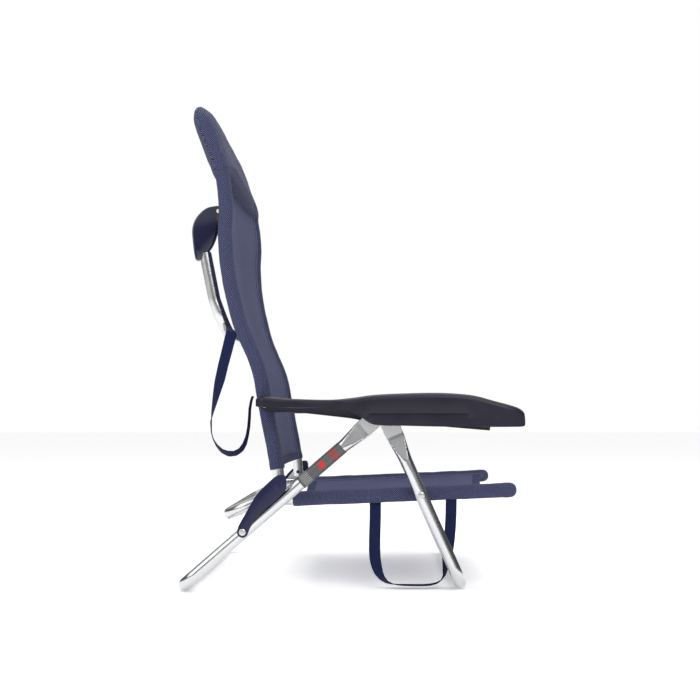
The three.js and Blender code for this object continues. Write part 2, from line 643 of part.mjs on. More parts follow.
const seatRivetSpan = [RAIL_Y + SLEEVE_R + 2 * GAP + SEAT_RIVET_HEAD, FRONT_LEG_Y + TUBE_R + GAP];
addPair('seat_rivet', headedPin(PIN_R, ...seatRivetSpan, PIN_HEAD_R, SEAT_RIVET_HEAD, SEAT_PIVOT), ALLOY);
const linkRivetSpan = [REAR_LEG_Y - TUBE_R - GAP, LINK_Y[1] + GAP];
addPair('link_rivet', headedPin(PIN_R, ...linkRivetSpan, PIN_HEAD_R, LINK_RIVET_HEAD, LINK_PIVOT), ALLOY);
const backPinSpan = [RAIL_Y - TUBE_R - GAP, LINK_Y[1] + GAP];
addPair('back_pivot_pin', headedPin(PIN_R, ...backPinSpan, PIN_HEAD_R, PIN_HEAD, BACK_PIVOT), ALLOY);
const spacerSpan = [BRACKET_Y[1] + GAP, LINK_Y[0] - GAP];
addPair('back_pivot_spacer', bushing(pinHole, PIN_R + BUSH_WALL, ...spacerSpan, BACK_PIVOT), BLACK);
const armPinSpan = [RAIL_Y - TUBE_R + 1, ARM_Y[0] + ARM_WALL + GAP];
addPair('armrest_pin', blindPin(PIN_R, ...armPinSpan, ARM_PIN_HEAD_R, PIN_HEAD, ARM_PIVOT), ALLOY);
const elbowSpan = [SUPPORT_Y - ELBOW_HALF - GAP, SUPPORT_Y + ELBOW_HALF + GAP];
const supportRivet = headedPin(PIN_R, ...elbowSpan, SUPPORT_RIVET_HEAD_R, PIN_HEAD, SUPPORT_PIVOT);
addPair('support_rivet', supportRivet, WHITE);

add('seat_strap', strap(SEAT_STRAP_ROUTE), WEBBING);
add('back_strap', strap(BACK_STRAP_ROUTE), WEBBING);

export default chair;
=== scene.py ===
"""Low folding beach chair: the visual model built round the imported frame. Metres, in the frame's axes.

+X is the way the sitter faces, +Y the sitter's left, +Z up. The camera looks along +Y.
"""

import json
import math

import bmesh
import bpy
import numpy as np
from mathutils import Matrix, Vector, noise


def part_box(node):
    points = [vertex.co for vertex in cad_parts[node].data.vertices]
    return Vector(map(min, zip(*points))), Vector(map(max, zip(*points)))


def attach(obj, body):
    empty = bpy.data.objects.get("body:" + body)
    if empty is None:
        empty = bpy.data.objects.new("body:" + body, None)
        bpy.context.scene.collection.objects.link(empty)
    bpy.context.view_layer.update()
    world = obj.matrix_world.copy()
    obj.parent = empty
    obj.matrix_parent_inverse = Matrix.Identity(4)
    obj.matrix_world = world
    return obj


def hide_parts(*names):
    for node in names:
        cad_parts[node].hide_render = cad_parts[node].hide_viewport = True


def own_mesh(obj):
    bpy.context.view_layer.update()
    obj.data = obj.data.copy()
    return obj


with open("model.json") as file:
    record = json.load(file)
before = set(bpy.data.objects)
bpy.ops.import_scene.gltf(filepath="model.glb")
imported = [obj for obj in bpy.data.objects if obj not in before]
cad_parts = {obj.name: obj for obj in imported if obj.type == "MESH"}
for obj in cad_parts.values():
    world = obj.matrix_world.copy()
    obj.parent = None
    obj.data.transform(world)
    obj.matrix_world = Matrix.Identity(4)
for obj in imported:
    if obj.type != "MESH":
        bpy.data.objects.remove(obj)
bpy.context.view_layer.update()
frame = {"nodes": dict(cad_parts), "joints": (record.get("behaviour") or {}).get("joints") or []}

SIDES = (("left", 1), ("right", -1))
ACROSS = Vector((0, 1, 0))

# ---- sizes ---------------------------------------------------------------

TUBE_R = 0.010
SLEEVE_R = 0.0120
RAIL_Y = 0.232
FRONT_LEG_Y = 0.2595
REAR_LEG_Y = 0.2825
SUPPORT_Y = 0.208
FOOT_BEND = 0.030
FLAP = 0.030
FLAP_THICK = 0.0012
SLING_LIFT = 0.0035
CLOTH_THICK = 0.0013
HEM_THICK = 0.0030

RAIL_SLOPE = 0.0413
RAIL_FRONT_X = 0.262
RAIL_DIP_X = -0.150
SEAT_REAR_DROP = 0.022
SEAT_DIP_R = 0.03
SEAT_BEND_R = 0.042
SUPPORT_BEND_R = 0.036
SUPPORT_KNEE_R = 0.06
SUPPORT_RUN = ((-0.2435, 0.556), (-0.228, 0.478), (-0.208, 0.424))
HEAD_BEND = 0.055
NECK = Vector((-0.214, 0, 0.697))
HEAD_TOP = Vector((-0.247, 0, 0.782))
LABEL_START = 0.089
LABEL_LENGTH = 0.088
DOT_PLACE = 0.043
STRAP_WIDTH = 0.020
STRAP_THICK = 0.0016

# ---- places that come from the frame -------------------------------------

JOINTS = {j["name"]: j for j in frame["joints"]}


def pivot(joint):
    x, _, z = JOINTS[joint]["pos_m"]
    return Vector((x, 0, z))


def middle(node):
    low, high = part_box(node)
    return (low + high) / 2


LEG_PIVOT = pivot("front_leg_fold")
BACK_PIVOT = pivot("seat_fold")
LINK_PIVOT = pivot("fold")
SUPPORT_PIVOT = pivot("support_swing")
SEAT_PIVOT = Vector((middle("seat_rivet_left").x, 0, middle("seat_rivet_left").z))


def on_side(point, half_width):
    return Vector((point.x, half_width, point.z))


def flip(point):
    return Vector((point.x, -point.y, point.z))


def rail_z(x):
    return SEAT_PIVOT.z + (x - SEAT_PIVOT.x) * RAIL_SLOPE


def on_rail(x, drop=0.0):
    return Vector((x, RAIL_Y, rail_z(x) - drop))


def heading(points, i):
    """The direction of a run of points at its i-th point."""
    return (points[min(i + 1, len(points) - 1)] - points[max(i - 1, 0)]).normalized()


# ---- camera, stage and light ---------------------------------------------


def make_camera():
    data = bpy.data.cameras.new("camera")
    camera = bpy.data.objects.new("camera", data)
    bpy.context.scene.collection.objects.link(camera)
    camera.location = (0.040, -2.088, 0.281)
    camera.rotation_euler = (math.radians(90), 0, 0)
    data.sensor_width = 36
    data.lens = 57.85
    data.shift_x = -0.0357
    data.shift_y = 0.0971
    bpy.context.scene.camera = camera


def make_stage():
    bpy.ops.mesh.primitive_plane_add(size=40, location=(0, 0, -0.001))
    floor = bpy.context.object
    floor.name = "floor"
    white, _, shader = principled("floor_white", (0.93, 0.93, 0.93), 0.9)
    shader.inputs["Emission Color"].default_value = (1, 1, 1, 1)
    shader.inputs["Emission Strength"].default_value = 0.31
    shader.inputs["Specular IOR Level"].default_value = 0.0
    floor.data.materials.append(white)
    bpy.context.scene.view_settings.view_transform = "Standard"
    bpy.context.scene.world = make_world()


def make_world():
    """A white room with darker flags at its sides and horizon, for streaks in the bright tube."""
    world = bpy.data.worlds.new("studio")
    world.use_nodes = True
    tree = world.node_tree
    lit = tree.nodes["Background"]
    lit.inputs["Strength"].default_value = 0.85
    place = tree.nodes.new("ShaderNodeTexCoord")
    split = tree.nodes.new("ShaderNodeSeparateXYZ")
    tree.links.new(place.outputs["Generated"], split.inputs["Vector"])
    height = node(tree, "ShaderNodeMapRange")
    height.inputs["From Min"].default_value = -1
    tree.links.new(split.outputs["Z"], height.inputs["Value"])
    across = node(tree, "ShaderNodeMapRange")
    across.inputs["From Min"].default_value = -1
    tree.links.new(split.outputs["X"], across.inputs["Value"])
    rise = ramp(tree, height.outputs["Result"], [(0.0, grey(1.0)), (0.49, grey(1.0)), (0.53, grey(0.16)),
                                                 (0.60, grey(0.3)), (0.68, grey(1.0)), (1.0, grey(1.0))])
    sides = ramp(tree, across.outputs["Result"], [(0.0, grey(0.12)), (0.10, grey(0.3)), (0.22, grey(1.0)),
                                                  (0.80, grey(1.0)), (0.88, grey(0.25)), (1.0, grey(0.12))])
    tree.links.new(mix(tree, 1.0, rise, sides, "MULTIPLY"), lit.inputs["Color"])
    plain_white = node(tree, "ShaderNodeBackground", Color=(1, 1, 1, 1), Strength=1.0)
    path = tree.nodes.new("ShaderNodeLightPath")
    chooser = tree.nodes.new("ShaderNodeMixShader")
    tree.links.new(path.outputs["Is Camera Ray"], chooser.inputs["Fac"])
    tree.links.new(lit.outputs["Background"], chooser.inputs[1])
    tree.links.new(plain_white.outputs["Background"], chooser.inputs[2])
    tree.links.new(chooser.outputs["Shader"], tree.nodes["World Output"].inputs["Surface"])
    return world


def make_light(name, location, size, power):
    data = bpy.data.lights.new(name, "AREA")
    data.shape = "SQUARE"
    data.size = size
    data.energy = power
    light = bpy.data.objects.new(name, data)
    light.location = location
    light.rotation_euler = (Vector((0, 0, 0.35)) - Vector(location)).to_track_quat("-Z", "Y").to_euler()
    bpy.context.scene.collection.objects.link(light)


# ---- materials -----------------------------------------------------------

WEAVE_TURN = math.radians(38)


def principled(name, color, roughness, metallic=0.0):
    made = bpy.data.materials.new(name)
    made.use_nodes = True
    shader = made.node_tree.nodes["Principled BSDF"]
    shader.inputs["Base Color"].default_value = (*color, 1)
    shader.inputs["Roughness"].default_value = roughness
    shader.inputs["Metallic"].default_value = metallic
    return made, made.node_tree, shader


def plain(name, color, roughness):
    return principled(name, color, roughness)[0]


def node(tree, kind, **values):
    made = tree.nodes.new(kind)
    for key, value in values.items():
        if key in made.inputs:
            made.inputs[key].default_value = value
        else:
            setattr(made, key, value)
    return made


def coordinates(tree, source, scale, turn=0.0):
    """Texture coordinates from the mesh's own UV or Object space, scaled and turned."""
    place = tree.nodes.new("ShaderNodeTexCoord")
    mapping = node(tree, "ShaderNodeMapping", Scale=scale, Rotation=(0, 0, turn))
    tree.links.new(place.outputs[source], mapping.inputs["Vector"])
    return mapping.outputs["Vector"]


def ramp(tree, factor, stops):
    made = tree.nodes.new("ShaderNodeValToRGB")
    elements = made.color_ramp.elements
    while len(elements) < len(stops):
        elements.new(0.5)
    for element, (place, color) in zip(elements, stops):
        element.position = place
        element.color = (*color, 1)
    tree.links.new(factor, made.inputs["Fac"])
    return made.outputs["Color"]


def grey(value):
    return (value, value, value)


def mix(tree, factor, a, b, blend="MIX"):
    made = node(tree, "ShaderNodeMix", data_type="RGBA", blend_type=blend)
    for value, socket in ((factor, made.inputs[0]), (a, made.inputs[6]), (b, made.inputs[7])):
        if isinstance(value, (int, float)):
            socket.default_value = value
        elif isinstance(value, tuple):
            socket.default_value = (*value, 1)
        else:
            tree.links.new(value, socket)
    return made.outputs[2]


def bump(tree, shader, height, strength, distance):
    made = node(tree, "ShaderNodeBump", Strength=strength, Distance=distance)
    tree.links.new(height, made.inputs["Height"])
    tree.links.new(made.outputs["Normal"], shader.inputs["Normal"])


def noise_value(tree, vector, scale, detail=3.0):
    made = node(tree, "ShaderNodeTexNoise", Scale=scale, Detail=detail)
    tree.links.new(vector, made.inputs["Vector"])
    return made.outputs["Fac"]


def aluminium(name="aluminium_tube", color=(0.60, 0.605, 0.615), low=0.16, high=0.3):
    """Bright drawn tube: faint lines along its length and cloudy handling marks."""
    made, tree, shader = principled(name, color, 0.2, 1.0)
    drawn = noise_value(tree, coordinates(tree, "UV", (14, 900, 1)), 1.0, 4)
    cloud = noise_value(tree, coordinates(tree, "Object", (1, 1, 1)), 22.0, 3)
    both = mix(tree, 0.45, drawn, cloud)
    tree.links.new(ramp(tree, both, [(0.3, grey(low)), (0.72, grey(high))]), shader.inputs["Roughness"])
    tree.links.new(ramp(tree, cloud, [(0.3, tuple(c * 0.97 for c in color)), (0.7, color)]),
                   shader.inputs["Base Color"])
    bump(tree, shader, drawn, 0.05, 0.0002)
    return made


def woven(name, dark, light, cell, source="UV", sheen=0.04):
    """A mesh weave: light thread knots in slanting rows on a darker ground."""
    made, tree, shader = principled(name, dark, 0.82)
    shader.inputs["Sheen Weight"].default_value = sheen
    shader.inputs["Specular IOR Level"].default_value = 0.25
    vector = coordinates(tree, source, (1 / cell[0], 1 / cell[1], 1 / cell[0]), WEAVE_TURN)
    if source == "Object":
        vector = wrapped(tree, cell)
    knots = node(tree, "ShaderNodeTexVoronoi", Scale=1.0, Randomness=0.12)
    tree.links.new(vector, knots.inputs["Vector"])
    spots = ramp(tree, knots.outputs["Distance"], [(0.14, grey(1)), (0.44, grey(0))])
    cloud = noise_value(tree, coordinates(tree, "Object", (1, 1, 1)), 30.0)
    ground = ramp(tree, cloud, [(0.3, tuple(c * 0.82 for c in dark)), (0.75, tuple(c * 1.15 for c in dark))])
    tree.links.new(mix(tree, spots, ground, light), shader.inputs["Base Color"])
    bump(tree, shader, spots, 0.5, 0.0005)
    return made


def wrapped(tree, cell):
    """The flat weave laid round a solid: across it by x and y together, and up it by z."""
    place = tree.nodes.new("ShaderNodeTexCoord")
    split = tree.nodes.new("ShaderNodeSeparateXYZ")
    tree.links.new(place.outputs["Object"], split.inputs["Vector"])
    across = node(tree, "ShaderNodeMath", operation="ADD")
    tree.links.new(split.outputs["X"], across.inputs[0])
    tree.links.new(split.outputs["Y"], across.inputs[1])
    flat = tree.nodes.new("ShaderNodeCombineXYZ")
    tree.links.new(across.outputs["Value"], flat.inputs["X"])
    tree.links.new(split.outputs["Z"], flat.inputs["Y"])
    scale = (1 / cell[0], 1 / cell[1], 1)
    mapping = node(tree, "ShaderNodeMapping", Scale=scale, Rotation=(0, 0, WEAVE_TURN))
    tree.links.new(flat.outputs["Vector"], mapping.inputs["Vector"])
    return mapping.outputs["Vector"]


def sling_cloth(name, dark, light, source="UV"):
    """Close plain weave in two thread tones, with a soft cloudiness."""
    made, tree, shader = principled(name, dark, 0.86)
    shader.inputs["Sheen Weight"].default_value = 0.04
    shader.inputs["Specular IOR Level"].default_value = 0.2
    threads = []
    for direction in ("X", "Y"):
        wave = node(tree, "ShaderNodeTexWave", bands_direction=direction, Scale=1.0, Distortion=0.35)
        wave.inputs["Detail Scale"].default_value = 3.0
        tree.links.new(coordinates(tree, source, (330, 330, 330)), wave.inputs["Vector"])
        threads.append(wave.outputs["Fac"])
    weave = mix(tree, 1.0, threads[0], threads[1], "MULTIPLY")
    cloud = noise_value(tree, coordinates(tree, "Object", (1, 1, 1)), 9.0)
    tone = mix(tree, ramp(tree, weave, [(0.1, grey(0)), (0.9, grey(1))]), dark, light)
    shade = ramp(tree, cloud, [(0.3, grey(0.9)), (0.7, grey(1.06))])
    tree.links.new(mix(tree, 1.0, tone, shade, "MULTIPLY"), shader.inputs["Base Color"])
    bump(tree, shader, weave, 0.35, 0.0004)
    return made


def webbing(name, dark, light):
    """Ribbed strap: ridges across the width, over a fine diagonal twill."""
    made, tree, shader = principled(name, dark, 0.8)
    shader.inputs["Specular IOR Level"].default_value = 0.2
    vector = coordinates(tree, "UV", (1, 1, 1))
    ribs = node(tree, "ShaderNodeTexWave", bands_direction="X", Scale=210.0, Distortion=0.6)
    tree.links.new(vector, ribs.inputs["Vector"])
    twill = node(tree, "ShaderNodeTexWave", bands_direction="DIAGONAL", Scale=160.0, Distortion=0.3)
    tree.links.new(vector, twill.inputs["Vector"])
    height = mix(tree, 0.4, ribs.outputs["Fac"], twill.outputs["Fac"])
    tree.links.new(mix(tree, height, dark, light), shader.inputs["Base Color"])
    bump(tree, shader, height, 0.6, 0.0006)
    return made


def moulded(name, color, low, high, grain, coat=0.0):
    """Moulded plastic: a fine grain, rubbed a little smoother and paler in places."""
    made, tree, shader = principled(name, color, low)
    shader.inputs["Coat Weight"].default_value = coat
    shader.inputs["Specular IOR Level"].default_value = 0.3
    place = coordinates(tree, "Object", (1, 1, 1))
    fine = noise_value(tree, place, grain, 4)
    cloud = noise_value(tree, place, 16.0, 2)
    tree.links.new(ramp(tree, cloud, [(0.3, grey(low)), (0.7, grey(high))]), shader.inputs["Roughness"])
    worn = tuple(min(1.0, c * 1.25 + 0.004) for c in color)
    tree.links.new(ramp(tree, cloud, [(0.35, color), (0.8, worn)]), shader.inputs["Base Color"])
    bump(tree, shader, fine, 0.12, 0.0004)
    return made


def label_print(name):
    """Dark grey wrap with a plain red band, and pale bars at its lower end. There is no lettering."""
    made, tree, shader = principled(name, (0.07, 0.07, 0.075), 0.42)
    vector = coordinates(tree, "UV", (1 / LABEL_LENGTH, 1, 1))
    split = tree.nodes.new("ShaderNodeSeparateXYZ")
    tree.links.new(vector, split.inputs["Vector"])
    bars = node(tree, "ShaderNodeTexWave", bands_direction="Y", Scale=110.0)
    tree.links.new(coordinates(tree, "UV", (1, 1, 1)), bars.inputs["Vector"])
    lower = band(tree, split.outputs["X"], 0.78, 0.95)
    striped = ramp(tree, bars.outputs["Fac"], [(0.6, grey(0)), (0.75, grey(0.8))])
    lines = mix(tree, 1.0, striped, lower, "MULTIPLY")
    pale = mix(tree, lines, (0.07, 0.07, 0.075), (0.32, 0.32, 0.33))
    red = band(tree, split.outputs["X"], 0.12, 0.27)
    tree.links.new(mix(tree, red, pale, (0.20, 0.035, 0.032)), shader.inputs["Base Color"])
    scuff = noise_value(tree, coordinates(tree, "Object", (1, 1, 1)), 240.0)
    tree.links.new(ramp(tree, scuff, [(0.3, grey(0.34)), (0.7, grey(0.5))]), shader.inputs["Roughness"])
    return made


def band(tree, value, start, end):
    """1 between start and end, 0 elsewhere."""
    edge = 0.002
    return ramp(tree, value, [(start, grey(0)), (start + edge, grey(1)),
                              (end, grey(1)), (end + edge, grey(0))])


LOOKS = {}


def make_looks():
    LOOKS["tube"] = aluminium()
    LOOKS["alloy"] = aluminium("satin_alloy", (0.52, 0.53, 0.55), 0.24, 0.4)
    LOOKS["sling"] = sling_cloth("sling_cloth", (0.040, 0.044, 0.108), (0.092, 0.100, 0.200))
    LOOKS["hem"] = sling_cloth("hem_cloth", (0.012, 0.014, 0.058), (0.035, 0.040, 0.115))
    LOOKS["sleeve"] = woven("sleeve_mesh", (0.0085, 0.010, 0.040), (0.125, 0.137, 0.25), (0.0028, 0.0021))
    LOOKS["pad"] = woven("pad_mesh", (0.0085, 0.010, 0.040), (0.125, 0.137, 0.25), (0.0028, 0.0021), "Object")
    LOOKS["arm"] = moulded("arm_plastic", (0.0060, 0.0052, 0.015), 0.34, 0.46, 900.0)
    LOOKS["link"] = moulded("blue_plastic", (0.0060, 0.0065, 0.036), 0.24, 0.36, 700.0, 0.0)
    LOOKS["elbow"] = moulded("elbow_plastic", (0.0040, 0.0048, 0.024), 0.10, 0.16, 700.0, 0.6)
    LOOKS["black"] = moulded("black_plastic", (0.006, 0.006, 0.008), 0.4, 0.55, 800.0)
    LOOKS["white"] = moulded("white_plastic", (0.72, 0.72, 0.7), 0.35, 0.45, 500.0)
    LOOKS["strap"] = webbing("strap_webbing", (0.0018, 0.0036, 0.026), (0.006, 0.012, 0.062))
    LOOKS["label"] = label_print("label_wrap")
    LOOKS["red"] = moulded("label_red", (0.42, 0.025, 0.03), 0.4, 0.5, 500.0)
    LOOKS["thread"] = plain("stitch_thread", (0.22, 0.24, 0.36), 0.8)


# ---- mesh building -------------------------------------------------------


def smooth(mesh, angle=38):
    mesh.polygons.foreach_set("use_smooth", [True] * len(mesh.polygons))
    mesh.set_sharp_from_angle(angle=math.radians(angle))
    mesh.update()


def finish_piece(mesh, look, body, replaces=(), angle=38):
    piece = bpy.data.objects.new(mesh.name, mesh)
    bpy.context.scene.collection.objects.link(piece)
    if look:
        mesh.materials.append(LOOKS[look])
    smooth(mesh, angle)
    if body:
        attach(piece, body)
    if replaces:
        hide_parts(*replaces)
    return piece


def mesh_from(name, points, faces, uvs=None):
    mesh = bpy.data.meshes.new(name)
    mesh.from_pydata([tuple(p) for p in points], [], faces)
    if uvs is not None:
        layer = mesh.uv_layers.new(name="UVMap")
        flat = [uvs[f][k] for f in range(len(faces)) for k in range(len(faces[f]))]
        layer.data.foreach_set("uv", np.array(flat, np.float32).ravel())
    mesh.validate()
    mesh.update()
    return outward(mesh)


def outward(mesh):
    work = bmesh.new()
    work.from_mesh(mesh)
    bmesh.ops.recalc_face_normals(work, faces=work.faces)
    if work.calc_volume(signed=True) < 0:
        bmesh.ops.reverse_faces(work, faces=work.faces)
    work.to_mesh(mesh)
    work.free()
    return mesh


def bent_path(corners, radii, steps=12):
    """Straight runs between corners, with an arc of the given radius round each inner corner."""
    stations = [corners[0].copy()]
    for i in range(1, len(corners) - 1):
        back = (corners[i - 1] - corners[i]).normalized()
        ahead = (corners[i + 1] - corners[i]).normalized()
        half = back.angle(ahead) / 2
        radius = radii[i - 1]
        centre = corners[i] + (back + ahead).normalized() * radius / math.sin(half)
        reach = radius / math.tan(half)
        spoke = corners[i] + back * reach - centre
        last = corners[i] + ahead * reach - centre
        axis = spoke.cross(last).normalized()
        for k in range(steps + 1):
            turn = Matrix.Rotation((math.pi - 2 * half) * k / steps, 3, axis)
            stations.append(centre + turn @ spoke)
    stations.append(corners[-1].copy())
    return stations


def spline(points, count):
    """A centripetal Catmull-Rom curve through the points, evenly resampled."""
    ends = [points[0] * 2 - points[1], *points, points[-1] * 2 - points[-2]]
    fine = []
    for a, b, c, d in zip(ends, ends[1:], ends[2:], ends[3:]):
        t = [0.0]
        for p, q in ((a, b), (b, c), (c, d)):
            t.append(t[-1] + max((q - p).length, 1e-6) ** 0.5)
        for k in range(16):
            s = t[1] + (t[2] - t[1]) * k / 16
            a1 = a * ((t[1] - s) / (t[1] - t[0])) + b * ((s - t[0]) / (t[1] - t[0]))
            a2 = b * ((t[2] - s) / (t[2] - t[1])) + c * ((s - t[1]) / (t[2] - t[1]))
            a3 = c * ((t[3] - s) / (t[3] - t[2])) + d * ((s - t[2]) / (t[3] - t[2]))
            b1 = a1 * ((t[2] - s) / (t[2] - t[0])) + a2 * ((s - t[0]) / (t[2] - t[0]))
            b2 = a2 * ((t[3] - s) / (t[3] - t[1])) + a3 * ((s - t[1]) / (t[3] - t[1]))
            fine.append(b1 * ((t[2] - s) / (t[2] - t[1])) + b2 * ((s - t[1]) / (t[2] - t[1])))
    fine.append(points[-1].copy())
    return resample(fine, count)


def run_lengths(stations):
    return np.cumsum([0.0] + [(b - a).length for a, b in zip(stations, stations[1:])])


def resample(points, count):
    lengths = run_lengths(points)
    wanted = np.linspace(0, lengths[-1], count)
    table = np.array([list(p) for p in points])
    return [Vector([float(np.interp(w, lengths, table[:, k])) for k in range(3)]) for w in wanted]


def side_curve(outline, count, half_width=0.0):
    """A smooth curve through points given as x and z."""
    return spline([Vector((x, half_width, z)) for x, z in outline], count)


def frames(stations, first=ACROSS):
    """Tangent and two cross axes at each station, carried along without twist."""
    made = []
    side = first
    for i, p in enumerate(stations):
        tangent = heading(stations, i)
        side = (side - tangent * side.dot(tangent)).normalized()
        made.append((p, tangent, side, tangent.cross(side)))
    return made


def loft(name, rings, lengths, capped=True, closed_run=False):
    """Quads between rings of equal size. UVs are metres: along the run, and round the ring."""
    size = len(rings[0])
    points = [p for ring in rings for p in ring]
    faces = []
    uvs = []
    around = [run_lengths([*ring, ring[0]]) for ring in rings]
    last = len(rings) if closed_run else len(rings) - 1
    for i in range(last):
        j = (i + 1) % len(rings)
        for k in range(size):
            n = (k + 1) % size
            faces.append((i * size + k, i * size + n, j * size + n, j * size + k))
            uvs.append([(lengths[i], around[i][k]), (lengths[i], around[i][k + 1]),
                        (lengths[j], around[j][k + 1]), (lengths[j], around[j][k])])
    if capped and not closed_run:
        for ring_index in (0, len(rings) - 1):
            faces.append(tuple(ring_index * size + k for k in range(size)))
            uvs.append([(0.0, 0.0)] * size)
    return mesh_from(name, points, faces, uvs)


def round_ring(place, radius, sides):
    p, _, side, up = place
    angles = [2 * math.pi * k / sides for k in range(sides)]
    return [p + side * radius * math.cos(a) + up * radius * math.sin(a) for a in angles]


def tube(name, stations, radius=TUBE_R, sides=32, section=None):
    """A closed bar along the stations, round unless it has a section of its own."""
    lengths = run_lengths(stations)
    rings = [section(place, s, lengths[-1]) if section else round_ring(place, radius, sides)
             for place, s in zip(frames(stations), lengths)]
    return loft(name, rings, lengths)


def join(name, meshes):
    """One mesh from several, which are separate closed bodies in it."""
    work = bmesh.new()
    for mesh in meshes:
        work.from_mesh(mesh)
        bpy.data.meshes.remove(mesh)
    made = bpy.data.meshes.new(name)
    work.to_mesh(made)
    work.free()
    return made


# ---- aluminium frame -----------------------------------------------------

FLAT_HALF = 0.0026
FLAT_WIDTH = 0.029
FLAT_END = 0.013
FLAT_FULL = 0.046
FLAT_START = 0.090


def leg_stations(foot, half_width):
    top = on_side(LEG_PIVOT, half_width)
    corner = on_side(foot, half_width)
    along = (corner - top).normalized()
    near = [top - along * FLAT_END, top - along * (FLAT_END - 0.004)]
    near += [top + along * s for s in np.linspace(FLAT_FULL - 0.03, FLAT_START, 26)]
    bend = bent_path([top + along * (FLAT_START + 0.02), corner, flip(corner),
                      flip(top + along * (FLAT_START + 0.02))], [FOOT_BEND, FOOT_BEND], 14)
    return near + bend + [flip(p) for p in reversed(near)]


def pressed(half_width, sides=48):
    """The section of a leg: round, but pressed flat towards its top, which leaves a V crease."""

    def section(place, s, total):
        p = place[0]
        down = min(s, total - s) - FLAT_END
        share = min(1.0, max(0.0, (down - FLAT_FULL) / (FLAT_START - FLAT_FULL)))
        half = FLAT_HALF + (TUBE_R - FLAT_HALF) * share
        wide = 1 + (FLAT_WIDTH / (2 * TUBE_R) - 1) * (1 - share) ** 1.3
        centre_y = math.copysign(half_width, p.y)
        ring = []
        for q in round_ring(place, TUBE_R, sides):
            offset = q - p
            if share < 1:
                flat_y = max(-half, min(half, offset.y))
                q = p + Vector((offset.x * wide, flat_y, offset.z * wide))
                q.y = centre_y + flat_y
            ring.append(q)
        return ring

    return section


def make_legs():
    rear_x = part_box("rear_leg_frame")[0].x + TUBE_R
    front_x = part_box("front_leg_frame")[1].x - TUBE_R
    for node_name, x, half_width, body in (("rear_leg_frame", rear_x, REAR_LEG_Y, "rear_legs"),
                                           ("front_leg_frame", front_x, FRONT_LEG_Y, "front_legs")):
        stations = leg_stations(Vector((x, 0, TUBE_R)), half_width)
        mesh = tube(node_name + "_tube", stations, section=pressed(half_width))
        finish_piece(mesh, "tube", body, [node_name], 32)


def make_seat_frame():
    low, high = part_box("seat_frame")
    corners = [on_rail(high.x), on_rail(RAIL_DIP_X), on_rail(low.x + TUBE_R, SEAT_REAR_DROP)]
    corners += [flip(p) for p in reversed(corners)]
    stations = bent_path(corners, [SEAT_DIP_R, SEAT_BEND_R, SEAT_BEND_R, SEAT_DIP_R], 14)
    finish_piece(tube("seat_frame_tube", stations), "tube", "seat", ["seat_frame"])


BACK_PROFILE = [(-0.1205, 0.197), (-0.139, 0.294), (-0.153, 0.365), (-0.182, 0.436), (-0.202, 0.521),
                (-0.207, 0.575), (-0.2065, 0.641), (-0.214, 0.697)]


def back_rise(half_width, count=70):
    return side_curve(BACK_PROFILE, count, half_width)


def head_bend(steps=14):
    neck = on_side(NECK, RAIL_Y)
    corner = on_side(HEAD_TOP, RAIL_Y)
    return bent_path([neck, corner, flip(corner), flip(neck)], [HEAD_BEND, HEAD_BEND], steps)


def make_back_frame():
    tail = Vector((BACK_PIVOT.x + 0.0008, RAIL_Y, BACK_PIVOT.z - 0.008))
    rise = [tail, *back_rise(RAIL_Y)[:-1]]
    stations = rise + head_bend() + [flip(p) for p in reversed(rise)]
    frame_tube = tube("backrest_frame_tube", stations)
    finish_piece(frame_tube, "tube", "backrest", ["backrest_frame"])
    low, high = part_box("backrest_crossbar")
    ends = [Vector((BACK_PIVOT.x, y, BACK_PIVOT.z)) for y in (low[1], high[1])]
    bar = tube("backrest_crossbar_bar", resample(ends, 12), (high[2] - low[2]) / 2)
    finish_piece(bar, "tube", "back_hinge", ["backrest_crossbar"])


def make_support_tube():
    corners = [Vector((x, SUPPORT_Y, z)) for x, z in SUPPORT_RUN]
    corners += [flip(p) for p in reversed(corners)]
    radii = [SUPPORT_KNEE_R, SUPPORT_BEND_R, SUPPORT_BEND_R, SUPPORT_KNEE_R]
    bar = tube("support_leg_bar", bent_path(corners, radii))
    finish_piece(bar, "tube", "support_leg", ["support_leg_tube"])


# ---- fabric --------------------------------------------------------------


def pocket_ring(p, up_axis, wobble, steps=26):
    """A teardrop round the tube: a circle drawn out on its inner side to the sewn flap."""
    inward = Vector((0, -math.copysign(1, p.y), 0))
    start = math.radians(28)
    ring = []
    for k in range(steps + 1):
        a = start + (2 * math.pi - 2 * start) * k / steps
        r = SLEEVE_R + wobble(a)
        ring.append((r * math.cos(a), r * math.sin(a)))
    ring += [(FLAP * 0.7, SLING_LIFT - 0.0030), (FLAP, SLING_LIFT - FLAP_THICK), (FLAP + 0.0008, SLING_LIFT),
             (FLAP, SLING_LIFT + FLAP_THICK), (FLAP * 0.7, SLING_LIFT + 0.0030)]
    return [p + inward * c + up_axis * h for c, h in ring]


def crumple(p, scale, amount):
    return noise.noise(p * scale) * amount


def make_pocket(name, stations, up_of, body, node_name):
    """The sewn sleeve round one tube, with its flap towards the middle of the chair."""
    lengths = run_lengths(stations)
    rings = []
    for p, s, up in zip(stations, lengths, up_of(stations)):
        near_end = min(s, lengths[-1] - s)
        hem = 0.0007 * math.exp(-((near_end - 0.006) / 0.003) ** 2)

        def wobble(a, p=p, hem=hem):
            around = Vector((p.x, math.cos(a) * 0.012, p.z + math.sin(a) * 0.012))
            return crumple(around, 34, 0.0006) + crumple(around, 90, 0.0003) + hem

        rings.append(pocket_ring(p, up, wobble))
    return finish_piece(loft(name, rings, lengths), "sleeve", body, [node_name], 60)


def rail_up(stations):
    return [Vector((-RAIL_SLOPE, 0, 1)).normalized()] * len(stations)


def back_forward(stations):
    along = [heading(stations, i) for i in range(len(stations))]
    return [Vector((a.z, 0, -a.x)) for a in along]


